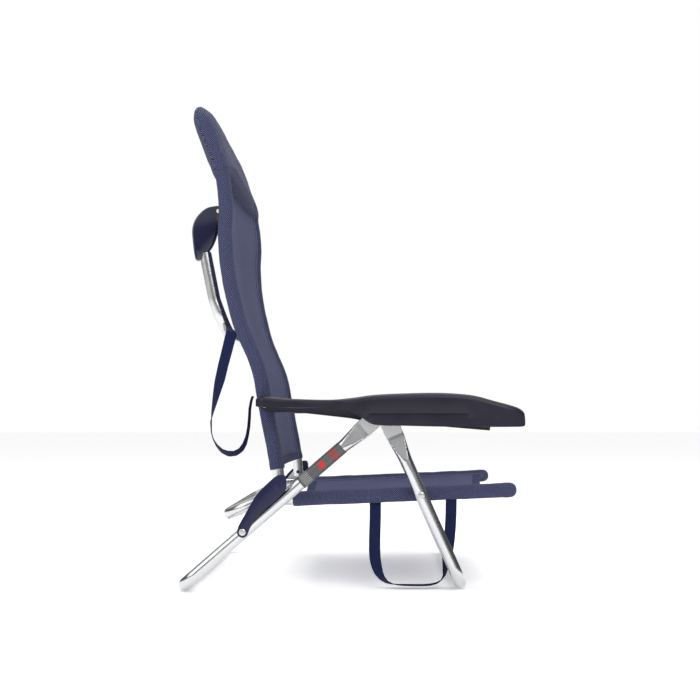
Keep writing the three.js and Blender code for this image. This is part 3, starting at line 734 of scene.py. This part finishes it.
def sheet_mesh(name, point, columns, rows, thickness):
    """A closed thin sheet. point(u, v) is its middle surface, and the UVs are metres."""
    grid = [[point(c / columns, r / rows) for c in range(columns + 1)] for r in range(rows + 1)]
    points = []
    for sign in (1, -1):
        for r in range(rows + 1):
            for c in range(columns + 1):
                across = grid[r][min(c + 1, columns)] - grid[r][max(c - 1, 0)]
                along = grid[min(r + 1, rows)][c] - grid[max(r - 1, 0)][c]
                points.append(grid[r][c] + across.cross(along).normalized() * sign * thickness / 2)
    width = columns + 1
    layer = width * (rows + 1)
    span_u = (grid[rows // 2][columns] - grid[rows // 2][0]).length / columns
    span_v = sum((grid[r + 1][columns // 2] - grid[r][columns // 2]).length for r in range(rows)) / rows
    faces = []
    uvs = []

    def quad(corners, places):
        faces.append(tuple(corners))
        uvs.append([(c * span_u, r * span_v) for c, r in places])

    for r in range(rows):
        for c in range(columns):
            spots = [(c, r), (c + 1, r), (c + 1, r + 1), (c, r + 1)]
            upper = [y * width + x for x, y in spots]
            quad(upper, spots)
            quad([layer + k for k in reversed(upper)], list(reversed(spots)))
    border = [(c, 0) for c in range(columns)] + [(columns, r) for r in range(rows)]
    border += [(c, rows) for c in range(columns, 0, -1)] + [(0, r) for r in range(rows, 0, -1)]
    for a, b in zip(border, border[1:] + border[:1]):
        i = a[1] * width + a[0]
        j = b[1] * width + b[0]
        quad([j, i, layer + i, layer + j], [b, a, a, b])
    return mesh_from(name, points, faces, uvs)


def stitch_row(name, path, normal_of, look, body, pitch=0.0042, length=0.0028, radius=0.00035):
    """A row of small raised stitches along a path."""
    count = max(2, int(run_lengths(path)[-1] / pitch))
    spots = resample(path, count)
    meshes = []
    for a, b in zip(spots, spots[1:]):
        along = (b - a).normalized()
        lift = normal_of(a) * radius * 0.8
        middle_point = (a + b) / 2 + lift
        ends = [middle_point - along * length / 2, middle_point, middle_point + along * length / 2]
        places = frames(ends, normal_of(a))
        rings = [round_ring(place, r, 6) for place, r in zip(places, (radius * 0.4, radius, radius * 0.4))]
        meshes.append(loft(name, rings, run_lengths(ends)))
    return finish_piece(join(name, meshes), look, body)


SLING_HALF = RAIL_Y - FLAP - 0.0005
SEAT_REAR_X = -0.095
SEAT_FRONT_X = 0.256
SEAT_SAG = 0.016
BACK_SAG = 0.010


def seat_point(u, v):
    """The seat sling's surface: across at u, from its rear edge to its front edge at v."""
    y = SLING_HALF * (2 * u - 1)
    droop = 1 - (y / SLING_HALF) ** 2
    scoop = 0.016 * droop
    x0 = SEAT_REAR_X + 0.004 * droop
    x = x0 + (SEAT_FRONT_X - scoop - x0) * v
    z = rail_z(x) + SLING_LIFT - SEAT_SAG * droop * (0.85 + 0.15 * math.sin(math.pi * v))
    p = Vector((x, y, z))
    edge = 1 - droop
    p.z += crumple(p, 11, 0.0018) * droop + crumple(p, 40, 0.0005) * edge
    return p


def back_point(rise, forward, u, v):
    y = SLING_HALF * (2 * u - 1)
    place = v * (len(rise) - 1)
    i = min(int(place), len(rise) - 2)
    t = place - i
    p = rise[i].lerp(rise[i + 1], t)
    ahead = forward[i].lerp(forward[i + 1], t)
    droop = 1 - (y / SLING_HALF) ** 2
    depth = SLING_LIFT - BACK_SAG * droop
    spot = Vector((p.x, y, p.z))
    depth += crumple(spot, 9, 0.0018) * droop + crumple(spot, 38, 0.0005) * (1 - droop)
    return spot + ahead * depth


def make_seat_cover():
    rail = resample([on_rail(SEAT_REAR_X), on_rail(RAIL_FRONT_X)], 90)
    for side_name, sign in SIDES:
        stations = [on_side(p, sign * RAIL_Y) for p in rail]
        make_pocket(f"seat_pocket_{side_name}", stations, rail_up, "seat",
                                f"seat_sleeve_{side_name}")
        seam = [seat_point(0.0 if sign < 0 else 1.0, v / 60) + Vector((0, sign * 0.003, 0.0018))
                for v in range(1, 60)]
        stitch_row(f"seat_stitches_{side_name}", seam, lambda _p: Vector((0, 0, 1)), "thread",
                               "seat")
        pocket_end(side_name, stations[-1])
    mesh = sheet_mesh("seat_sling_cloth", seat_point, 56, 50, CLOTH_THICK)
    piece = finish_piece(mesh, "sling", "seat", ["seat_sling"], 60)
    for name, v0, v1 in (("seat_hem_front", 0.955, 1.0), ("seat_hem_rear", 0.0, 0.045)):
        make_hem(name, seat_point, v0, v1, "seat")


def pocket_end(side_name, mouth):
    """The rounded, sewn-shut front end of one seat pocket."""
    ahead = Vector((1, 0, RAIL_SLOPE)).normalized()
    rings = []
    lengths = []
    for k in range(13):
        a = math.radians(90 * k / 12)
        centre = mouth + ahead * (0.0125 * math.sin(a) - 0.001)
        place = (centre, ahead, ACROSS, Vector((-RAIL_SLOPE, 0, 1)).normalized())
        rings.append(round_ring(place, max(0.0003, (SLEEVE_R + 0.0004) * math.cos(a) ** 0.8), 36))
        lengths.append(0.0125 * math.sin(a))
    mesh = loft(f"seat_pocket_end_{side_name}", rings, lengths)
    return finish_piece(mesh, "sleeve", "seat", [f"seat_rail_plug_{side_name}"], 60)


def make_hem(name, point, v0, v1, body):
    """The darker turned hem along one end of a sling, a doubled layer."""

    def hem_point(u, v):
        return point(u, v0 + (v1 - v0) * v)

    mesh = sheet_mesh(name, hem_point, 56, 6, HEM_THICK)
    return finish_piece(mesh, "hem", body, (), 60)


def make_back_cover():
    rise = back_rise(0)
    rise = rise[:-1] + [rise[-1].lerp(rise[-2], 0.3)]
    forward = back_forward(rise)
    for side_name, sign in SIDES:
        stations = [on_side(p, sign * RAIL_Y) for p in rise]
        stations = resample(stations, 120)
        make_pocket(f"backrest_pocket_{side_name}", stations, back_forward, "backrest",
                                f"backrest_sleeve_{side_name}")
        seam = []
        for k in range(1, 100):
            place = back_point(rise, forward, 0.0 if sign < 0 else 1.0, k / 100)
            seam.append(place + Vector((0.0018, sign * 0.003, 0)))
        stitch_row(f"backrest_stitches_{side_name}", seam, lambda _p: Vector((1, 0, 0)), "thread",
                               "backrest")

    def point(u, v):
        return back_point(rise, forward, u, v)

    mesh = sheet_mesh("backrest_sling_cloth", point, 56, 80, CLOTH_THICK)
    piece = finish_piece(mesh, "sling", "backrest", ["backrest_sling"], 60)
    make_hem("backrest_hem_bottom", point, 0.0, 0.03, "backrest")


# ---- headrest ------------------------------------------------------------


PAD_TOP = 0.1185
PAD_CORNER = 0.047
PAD_OUTLINE = [(-0.013, 0.0122), (0.020, 0.0124), (0.050, 0.0128), (0.082, 0.0126), (0.104, 0.0098),
               (0.1150, 0.0035), (0.1150, -0.0050), (0.106, -0.0108), (0.084, -0.0132), (0.052, -0.0135),
               (0.024, -0.0126), (-0.012, -0.0122)]


def make_headrest():
    """The padded pocket over the top bend, as rings from one side of the chair to the other."""
    lean = (HEAD_TOP - NECK).normalized()
    ahead = Vector((lean.z, 0, -lean.x))
    half = RAIL_Y + SLEEVE_R + 0.0035
    loop = [Vector((s, d, 0)) for s, d in PAD_OUTLINE]
    loop = spline(loop + [loop[0]], 48)[:-1]
    rings = []
    lengths = []
    for k in range(53):
        y = -half * math.cos(math.pi * k / 52)
        over = max(0.0, abs(y) - (half - PAD_CORNER))
        reach = PAD_TOP - PAD_CORNER + math.sqrt(max(PAD_CORNER ** 2 - over ** 2, 0))
        past = max(0.0, abs(y) - RAIL_Y) / (half - RAIL_Y)
        pinch = math.sqrt(max(1 - past ** 4, 0.04))
        dip = 0.003 * (1 - (y / half) ** 2)
        ring = []
        for q in loop:
            hollow = dip * max(0.0, 1 - abs(q.x - 0.035) / 0.03)
            p = NECK + lean * (q.x * reach / PAD_TOP) + ahead * (q.y * pinch - hollow)
            ring.append(Vector((p.x, y, p.z)))
        rings.append(ring)
        lengths.append(y)
    piece = finish_piece(loft("headrest_cushion", rings, lengths), None, None)
    puff(piece, lean, ahead)
    piece.data.materials.clear()
    piece.data.materials.append(LOOKS["pad"])
    smooth(piece.data, 70)
    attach(piece, "backrest")
    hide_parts("headrest_pad")


def puff(piece, lean, ahead):
    """Fills the cushion out by cloth simulation, each point moving no more than the cap."""
    remesh = piece.modifiers.new("even", "REMESH")
    remesh.mode = "VOXEL"
    remesh.voxel_size = 0.0048
    apply_modifiers(piece)
    rest = np.array([v.co for v in piece.data.vertices], float)
    cloth = piece.modifiers.new("cloth", "CLOTH")
    cloth.settings.use_pressure = True
    cloth.settings.uniform_pressure_force = 4
    cloth.settings.effector_weights.gravity = 0
    cloth.settings.quality = 5
    scene = bpy.context.scene
    for step in range(1, 21):
        scene.frame_set(step)
    apply_modifiers(piece)
    scene.frame_set(1)
    moved = np.array([v.co for v in piece.data.vertices], float)
    shift = moved - rest
    size = np.linalg.norm(shift, axis=1, keepdims=True)
    inward = 1 - np.minimum(np.abs(rest[:, 1:2]) / (RAIL_Y + SLEEVE_R), 1.0) ** 6
    cap = 0.0010 + 0.0065 * inward
    moved = rest + shift * np.minimum(1.0, cap / np.maximum(size, 1e-9))
    for vertex, place in zip(piece.data.vertices, moved):
        p = Vector(place)
        s = (p - NECK).dot(lean)
        gather = math.exp(-((s - 0.004) / 0.010) ** 2)
        p += ahead * (-math.copysign(1, (p - NECK).dot(ahead)) * 0.0004 * gather)
        p += ahead * crumple(p, 26, 0.0008)
        vertex.co = p
    subdivide = piece.modifiers.new("fine", "SUBSURF")
    subdivide.levels = 1
    subdivide.render_levels = 1
    apply_modifiers(piece)


def apply_modifiers(piece):
    graph = bpy.context.evaluated_depsgraph_get()
    bpy.context.view_layer.update()
    made = bpy.data.meshes.new_from_object(piece.evaluated_get(graph))
    old = piece.data
    name = old.name
    piece.modifiers.clear()
    piece.data = made
    bpy.data.meshes.remove(old)
    made.name = name


# ---- moulded pieces ------------------------------------------------------

ARM_TOP = [(-0.153, 0.3120), (-0.151, 0.3150), (-0.093, 0.3115), (-0.028, 0.310), (0.004, 0.313),
           (0.037, 0.3175), (0.085, 0.320), (0.134, 0.321), (0.166, 0.320), (0.199, 0.3165), (0.231, 0.308),
           (0.257, 0.301), (0.271, 0.296), (0.2795, 0.289), (0.2802, 0.280)]
ARM_LOW = [(-0.153, 0.300), (-0.135, 0.2985), (-0.060, 0.2975), (-0.016, 0.297), (0.004, 0.2905),
           (0.0205, 0.281), (0.033, 0.2725), (0.050, 0.2697), (0.085, 0.269), (0.150, 0.2675),
           (0.228, 0.267), (0.262, 0.2672), (0.273, 0.2674), (0.2795, 0.2688), (0.2803, 0.272)]
ARM_INNER_LOW = [(-0.153, 0.300), (-0.135, 0.292), (-0.093, 0.2905), (-0.028, 0.284), (0.010, 0.279),
                 (0.033, 0.2725), (0.050, 0.2697), (0.085, 0.269), (0.150, 0.2675), (0.228, 0.267),
                 (0.262, 0.2672), (0.272, 0.268), (0.2795, 0.271), (0.2802, 0.275)]


ARM_REAR_X = -0.153
ARM_NOSE_X = 0.262
ARM_TIP_X = 0.2802
ARM_WALL = 0.0028
STEP_RUN = 0.0004
GROOVE_Z = 0.288
GROOVE_INSET = 0.0026
TRACK_STEP_X = 0.2283


def lookup(table, x):
    return float(np.interp(x, [p[0] for p in table], [p[1] for p in table]))


def smooth_table(table):
    return sorted((p.x, p.z) for p in side_curve(table, 160))


def arm_half_plan(x):
    """Inner and outer face of the armrest at x, as distance from the middle of the chair."""
    inner, outer, rear = 0.2452, 0.3048, 0.2788
    t = min(1.0, max(0.0, (x + 0.100) / 0.092))
    width_out = rear + (outer - rear) * t * t * (3 - 2 * t)
    tip = max(0.0, (x - 0.240) / 0.0402)
    width_out -= 0.014 * tip ** 3
    inner += 0.006 * tip ** 3
    back = max(0.0, (-0.135 - x) / 0.018)
    width_out -= 0.010 * back ** 2
    return inner, width_out


def arm_section(x, tops, lows, inner_lows):
    """A channel open below, round-shouldered on top: the ring of one station."""
    inner, outer = arm_half_plan(x)
    top = lookup(tops, x)
    low = lookup(lows, x)
    inner_low = lookup(inner_lows, x)
    if x < TRACK_STEP_X:
        inner_low -= 0.0062 * min(1.0, max(0.0, (x - 0.150) / (TRACK_STEP_X - 0.150)))
    wall = ARM_WALL
    shoulder = min(0.0085, (top - low) * 0.45, (outer - inner) * 0.3)
    run = min(1.0, max(0.0, (x - 0.022) / 0.012)) * min(1.0, max(0.0, (0.196 - x) / 0.012))
    inset = GROOVE_INSET * run
    groove = min(max(GROOVE_Z, low + 0.003), top - shoulder - 0.002)
    ring = [(outer - inset, low), (outer - inset * 0.8, (low + groove) / 2), (outer - inset, groove - 0.0006),
            (outer - inset * 0.2, groove), (outer, groove + 0.0008), (outer, top - shoulder)]
    for k in range(1, 7):
        a = math.radians(90 * k / 6)
        ring.append((outer - shoulder + shoulder * math.cos(a), top - shoulder + shoulder * math.sin(a)))
    crown = 0.0006
    for t in (0.25, 0.5, 0.75):
        y = outer - shoulder + (inner + 2 * shoulder - outer) * t
        ring.append((y, top + crown * math.sin(math.pi * t)))
    for k in range(0, 7):
        a = math.radians(90 * k / 6)
        ring.append((inner + shoulder - shoulder * math.sin(a), top - shoulder + shoulder * math.cos(a)))
    ring += [(inner, (inner_low + top - shoulder) / 2), (inner, inner_low),
             (inner + wall * 0.5, inner_low - 0.0004), (inner + wall, inner_low)]
    roof = top - wall
    roof_in = max(inner_low + 0.002, roof - 0.006)
    ring += [(inner + wall, roof_in), (inner + wall + 0.003, roof), ((inner + outer) / 2, roof),
             (outer - wall - 0.003, roof), (outer - wall, max(low + 0.002, roof - 0.006)),
             (outer - wall, low), (outer - wall * 0.5, low - 0.0004)]
    return ring


def make_armrest(side_name, sign):
    tops = smooth_table(ARM_TOP)
    lows = smooth_table(ARM_LOW)
    inner_lows = smooth_table(ARM_INNER_LOW)
    xs = sorted([*np.linspace(ARM_REAR_X, ARM_NOSE_X, 84), TRACK_STEP_X - STEP_RUN, TRACK_STEP_X + STEP_RUN])
    nose = ARM_TIP_X - ARM_NOSE_X
    xs += [ARM_TIP_X - nose * (1 - math.sin(a)) for a in np.linspace(0.06, math.pi / 2, 12)]
    rings = []
    for x in xs:
        rings.append([Vector((x, sign * y, z)) for y, z in arm_section(x, tops, lows, inner_lows)])
    shell = loft("shell", rings, run_lengths([Vector((x, 0, 0)) for x in xs]))
    mesh = join(f"armrest_shell_{side_name}", [shell, nose_plate(sign, tops, lows)])
    finish_piece(mesh, "arm", "armrests", [f"armrest_{side_name}"], 42)


def nose_plate(sign, tops, lows):
    """The wall that closes the front of the armrest's channel."""
    rings = []
    for x in (0.2742, 0.2768):
        inner, outer = arm_half_plan(x)
        top = lookup(tops, x) - 0.002
        low = lookup(lows, x) + 0.0006
        ring = [(inner + 0.002, low), (outer - 0.002, low), (outer - 0.002, top - 0.006),
                (outer - 0.008, top), (inner + 0.008, top), (inner + 0.002, top - 0.006)]
        rings.append([Vector((x, sign * y, z)) for y, z in ring])
    return loft("nose", rings, [0, 0.0026])


def bevelled_plate(name, outline_points, y0, y1, sign, edge=0.0012):
    """A flat moulded piece with rounded edges: its outline is given as x and z."""
    turn = -1 if signed_area(outline_points) > 0 else 1
    count = len(outline_points)
    rings = []
    for y, inset in ((y0, edge), (y0 + edge * 0.3, edge * 0.3), (y0 + edge, 0), (y1 - edge, 0),
                     (y1 - edge * 0.3, edge * 0.3), (y1, edge)):
        ring = []
        for i, (x, z) in enumerate(outline_points):
            along = (Vector(outline_points[(i + 1) % count]) - Vector(outline_points[i - 1])).normalized()
            inward = Vector((along.y, -along.x)) * turn
            ring.append(Vector((x + inward.x * inset, sign * y, z + inward.y * inset)))
        rings.append(ring)
    return loft(name, rings, [0, 0.001, 0.002, 0.003, 0.004, 0.005])


def signed_area(points):
    return sum(a[0] * b[1] - b[0] * a[1] for a, b in zip(points, points[1:] + points[:1])) / 2


def arc(centre, radius, start, end, steps):
    angles = [math.radians(start + (end - start) * k / steps) for k in range(steps + 1)]
    return [(centre[0] + radius * math.cos(a), centre[1] + radius * math.sin(a)) for a in angles]


# edges of the folding link and of the support elbow, in metres from their pivots
LINK_FRONT = [(0.0087, -0.002), (0.0125, 0.0075), (0.0219, 0.0225)]
LINK_HEAD = [(-0.0153, -0.0335), (0.0038, -0.0165), (0.0160, -0.0030), (0.0168, 0.010), (0.0140, 0.0195),
             (0.0038, 0.0195), (-0.0153, 0.0045), (-0.0312, -0.0125)]
LINK_REAR = [(0.0044, 0.0290), (-0.0060, 0.0105), (-0.0085, 0.003)]
ELBOW_EDGE = [(0.004, -0.0095), (-0.004, -0.038), (-0.010, -0.054), (-0.020, -0.070), (-0.0265, -0.0785),
              (-0.0375, -0.0815), (-0.0405, -0.0725), (-0.0435, -0.050), (-0.0445, -0.030), (-0.041, -0.016),
              (-0.032, -0.003), (-0.019, 0.0065), (-0.005, 0.0095)]
LINK_END_R = 0.009
ELBOW_EYE_R = 0.0095


def placed(centre, points):
    return [(centre.x + x, centre.z + z) for x, z in points]


def closed_edge(edge, count, end):
    """A smooth edge, closed by the arc round its pivot."""
    return [(p.x, p.z) for p in side_curve(edge, count)] + end[1:-1]


def link_outline():
    edge = placed(LINK_PIVOT, LINK_FRONT) + placed(BACK_PIVOT, LINK_HEAD) + placed(LINK_PIVOT, LINK_REAR)
    return closed_edge(edge, 100, arc((LINK_PIVOT.x, LINK_PIVOT.z), LINK_END_R, 165, 345, 14))


def elbow_outline():
    end = arc((SUPPORT_PIVOT.x, SUPPORT_PIVOT.z), ELBOW_EYE_R, 110, -60, 12)
    return closed_edge(placed(SUPPORT_PIVOT, ELBOW_EDGE), 80, end)


def make_plates():
    """The folding links and the support elbows, each as thick as its CAD node."""
    for stem, points, look, body, edge in (
        ("folding_link", link_outline(), "link", "folding_links", 0.0014),
        ("support_elbow", elbow_outline(), "elbow", "support_leg", 0.0035),
    ):
        low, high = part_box(f"{stem}_left")
        for side_name, sign in SIDES:
            plate = bevelled_plate(f"{stem}_cover_{side_name}", points, low.y, high.y, sign, edge)
            finish_piece(plate, look, body, [f"{stem}_{side_name}"], 35)


def dome_mesh(name, x, z, y, sign, radius, height):
    """A rivet head standing out from y."""
    shares = ((1, 0), (1, 0.25), (0.92, 0.55), (0.72, 0.82), (0.4, 0.97), (0.1, 1))
    profile = [(radius * wide, height * high) for wide, high in shares]
    rings = []
    for r, h in profile:
        ring = [Vector((x + r * math.cos(a), sign * (y + h), z + r * math.sin(a)))
                for a in np.linspace(0, 2 * math.pi, 29)[:-1]]
        rings.append(ring)
    return loft(name, rings, [0.001 * k for k in range(len(profile))])


def shaft_mesh(name, x, z, y0, y1, sign, radius):
    ring = [(radius * math.cos(a), radius * math.sin(a)) for a in np.linspace(0, 2 * math.pi, 25)[:-1]]
    rings = [[Vector((x + c, sign * y, z + s)) for c, s in ring] for y in (y0, y1)]
    return loft(name, rings, [0, abs(y1 - y0)])


HEAD_RISE = 0.0018


def make_pins():
    """Pins and rivets: each takes its place and length from its CAD node."""
    for stem, radius, head, look, slot, body in (
        ("seat_rivet", 0.0035, 0.0055, "alloy", "rivet_metal", "front_legs"),
        ("link_rivet", 0.0035, 0.0055, "alloy", "rivet_metal", "rear_legs"),
        ("back_pivot_pin", 0.0035, 0.0045, "link", "rivet_metal", "back_hinge"),
        ("armrest_pin", 0.0035, 0.0060, "alloy", "rivet_metal", "arm_hinge"),
        ("leg_pivot_pin", 0.0040, 0.0060, "alloy", "rivet_metal", "rear_legs"),
        ("support_rivet", 0.0030, 0.0036, "white", "white_rivet", "backrest"),
    ):
        for side_name, sign in SIDES:
            low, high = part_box(f"{stem}_{side_name}")
            x, z = (low.x + high.x) / 2, (low.z + high.z) / 2
            near, far = sorted((abs(low.y), abs(high.y)))
            meshes = [shaft_mesh("shaft", x, z, near + 0.0005, far - 0.001, sign, radius),
                      dome_mesh("head", x, z, far - HEAD_RISE, sign, head, HEAD_RISE)]
            mesh = join(f"{stem}_round_{side_name}", meshes)
            finish_piece(mesh, look, body, [f"{stem}_{side_name}"], 30)


def make_labels():
    """The grey wrap on each rear leg, with a plain red dot in place of a badge."""
    rear_low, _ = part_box("rear_leg_frame")
    foot = Vector((rear_low.x + TUBE_R, 0, TUBE_R))
    along = (foot - LEG_PIVOT).normalized()
    for side_name, sign in SIDES:
        start = on_side(LEG_PIVOT + along * LABEL_START, sign * REAR_LEG_Y)
        stations = [start + along * s for s in np.linspace(0, LABEL_LENGTH, 12)]
        lengths = run_lengths(stations)
        places = frames(stations)
        rings = [round_ring(place, TUBE_R + 0.0006, 40) for place in places]
        rings += [round_ring(place, TUBE_R + 0.0001, 40) for place in reversed(places)]
        mesh = loft(f"rear_leg_wrap_{side_name}", rings, [*lengths, *reversed(lengths)], closed_run=True)
        finish_piece(mesh, "label", "rear_legs", [f"rear_leg_label_{side_name}"], 30)
        across = ACROSS.cross(along)
        disc = []
        for r, lift in ((0.0062, 0.00075), (0.0060, 0.00100), (0.0020, 0.00115)):
            ring = []
            for a in np.linspace(0, 2 * math.pi, 33)[:-1]:
                c, n = r * math.cos(a), r * math.sin(a)
                bulge = math.sqrt((TUBE_R + lift) ** 2 - n * n)
                centre = start + along * (DOT_PLACE + c) + across * n
                ring.append(Vector((centre.x, sign * (REAR_LEG_Y + bulge), centre.z)))
            disc.append(ring)
        finish_piece(loft(f"rear_leg_dot_{side_name}", disc, [0, 0.001, 0.002]), "red", "rear_legs")


# ---- straps --------------------------------------------------------------

SEAT_STRAP_ROUTE = [(40.5, 136.5), (40.5, 120), (40, 102.8), (39.5, 84), (39.3, 64.9), (40, 50), (42.5, 36.8),
                    (46, 26), (51.6, 17), (59, 10.5), (68, 7.3), (79, 5.9), (92, 5.4), (106, 5.2), (119, 5.2),
                    (131, 6), (142, 8.6), (150, 14), (154.5, 22), (157.5, 40), (160, 60), (162.5, 80),
                    (164.3, 100), (165.3, 120), (165.7, 141.5)]
BACK_STRAP_ROUTE = [(-196, 424), (-201, 405), (-206, 385), (-210.5, 368), (-214.5, 350), (-219, 332),
                    (-223.5, 312), (-228, 291), (-230.5, 275), (-230, 258), (-227, 246), (-221, 235.5),
                    (-212.5, 226.5), (-202, 222), (-191, 222.5), (-181.5, 228), (-175, 238), (-171, 251),
                    (-168.5, 265), (-167.2, 280), (-166.5, 296), (-164, 310), (-161.5, 317)]


# one long face of the strap's section, in half widths and half thicknesses, then the other
STRAP_FACE = [(-1, -0.5), (-1, 0.5), (-0.94, 1), (-0.5, 1.0), (0, 1.0), (0.5, 1.0), (0.94, 1)]
STRAP_SECTION = STRAP_FACE + [(-a, -b) for a, b in STRAP_FACE]


def strap_mesh(name, path, turn_of, count):
    """A flat strap along the path. turn_of gives its twist: 0 lies flat to the side, 90 is edge on."""
    stations = resample(path, count)
    lengths = run_lengths(stations)
    rings = []
    for i, p in enumerate(stations):
        tangent = heading(stations, i)
        flat = ACROSS.cross(tangent).normalized()
        turn = math.radians(turn_of(lengths[i] / lengths[-1]))
        wide = flat * math.cos(turn) + ACROSS * math.sin(turn)
        thin = tangent.cross(wide).normalized()
        half_w, half_t = STRAP_WIDTH / 2, STRAP_THICK / 2
        rings.append([p + wide * half_w * a + thin * half_t * b for a, b in STRAP_SECTION])
    return loft(name, rings, lengths), stations, lengths


def ribbon(name, path, turn_of, body, node_name):
    mesh, stations, lengths = strap_mesh(name, path, turn_of, 110)
    piece = finish_piece(mesh, "strap", body, [node_name], 40)
    tuple(stations[0])
    [tuple(p) for p in stations]
    return piece


def route(points):
    return [Vector((x / 1000, -RAIL_Y, z / 1000)) for x, z in points]


def make_straps():
    def seat_turn(t):
        return 22 + 66 * math.exp(-((t - 0.52) / 0.20) ** 4)

    def back_turn(t):
        return float(np.interp(t, [0, 0.25, 0.46, 0.56, 0.66, 0.80, 1], [18, 30, 86, 80, 62, 84, 88]))

    seat_strap = ribbon("seat_strap_webbing", route(SEAT_STRAP_ROUTE), seat_turn, "seat", "seat_strap")
    back_strap = ribbon("back_strap_webbing", route(BACK_STRAP_ROUTE), back_turn, "backrest", "back_strap")
    for name, points in (("rear", SEAT_STRAP_ROUTE[0]), ("front", SEAT_STRAP_ROUTE[-1])):
        x, z = points[0] / 1000, points[1] / 1000
        patch = [Vector((x, -RAIL_Y, z - 0.002)), Vector((x, -RAIL_Y, rail_z(x) - TUBE_R - 0.0004))]
        mesh = strap_mesh(f"seat_strap_end_{name}", patch, lambda _t: 22, 8)[0]
        finish_piece(mesh, "strap", "seat")
    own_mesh(seat_strap)
    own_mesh(back_strap)


# ---- carried-over CAD nodes ----------------------------------------------


def paint_cad():
    """CAD nodes whose shape is right take a finished material."""
    looks = {"armrest_track": "black", "seat_bracket": "alloy", "leg_pivot_bush": "black",
             "back_pivot_spacer": "black"}
    for name, piece in frame["nodes"].items():
        for stem, look in looks.items():
            if name.startswith(stem):
                piece.data.materials.clear()
                piece.data.materials.append(LOOKS[look])


make_camera()
make_stage()
make_light("key", (1.2, -2.6, 2.6), 2.4, 60)
make_light("fill", (-2.4, -1.4, 1.6), 2.0, 26)
make_light("top", (0.0, 0.6, 3.0), 2.4, 40)
make_looks()
make_straps()
make_legs()
make_seat_frame()
make_back_frame()
make_support_tube()
make_seat_cover()
make_back_cover()
make_headrest()
for side, direction in SIDES:
    make_armrest(side, direction)
make_plates()
make_pins()
make_labels()
paint_cad()
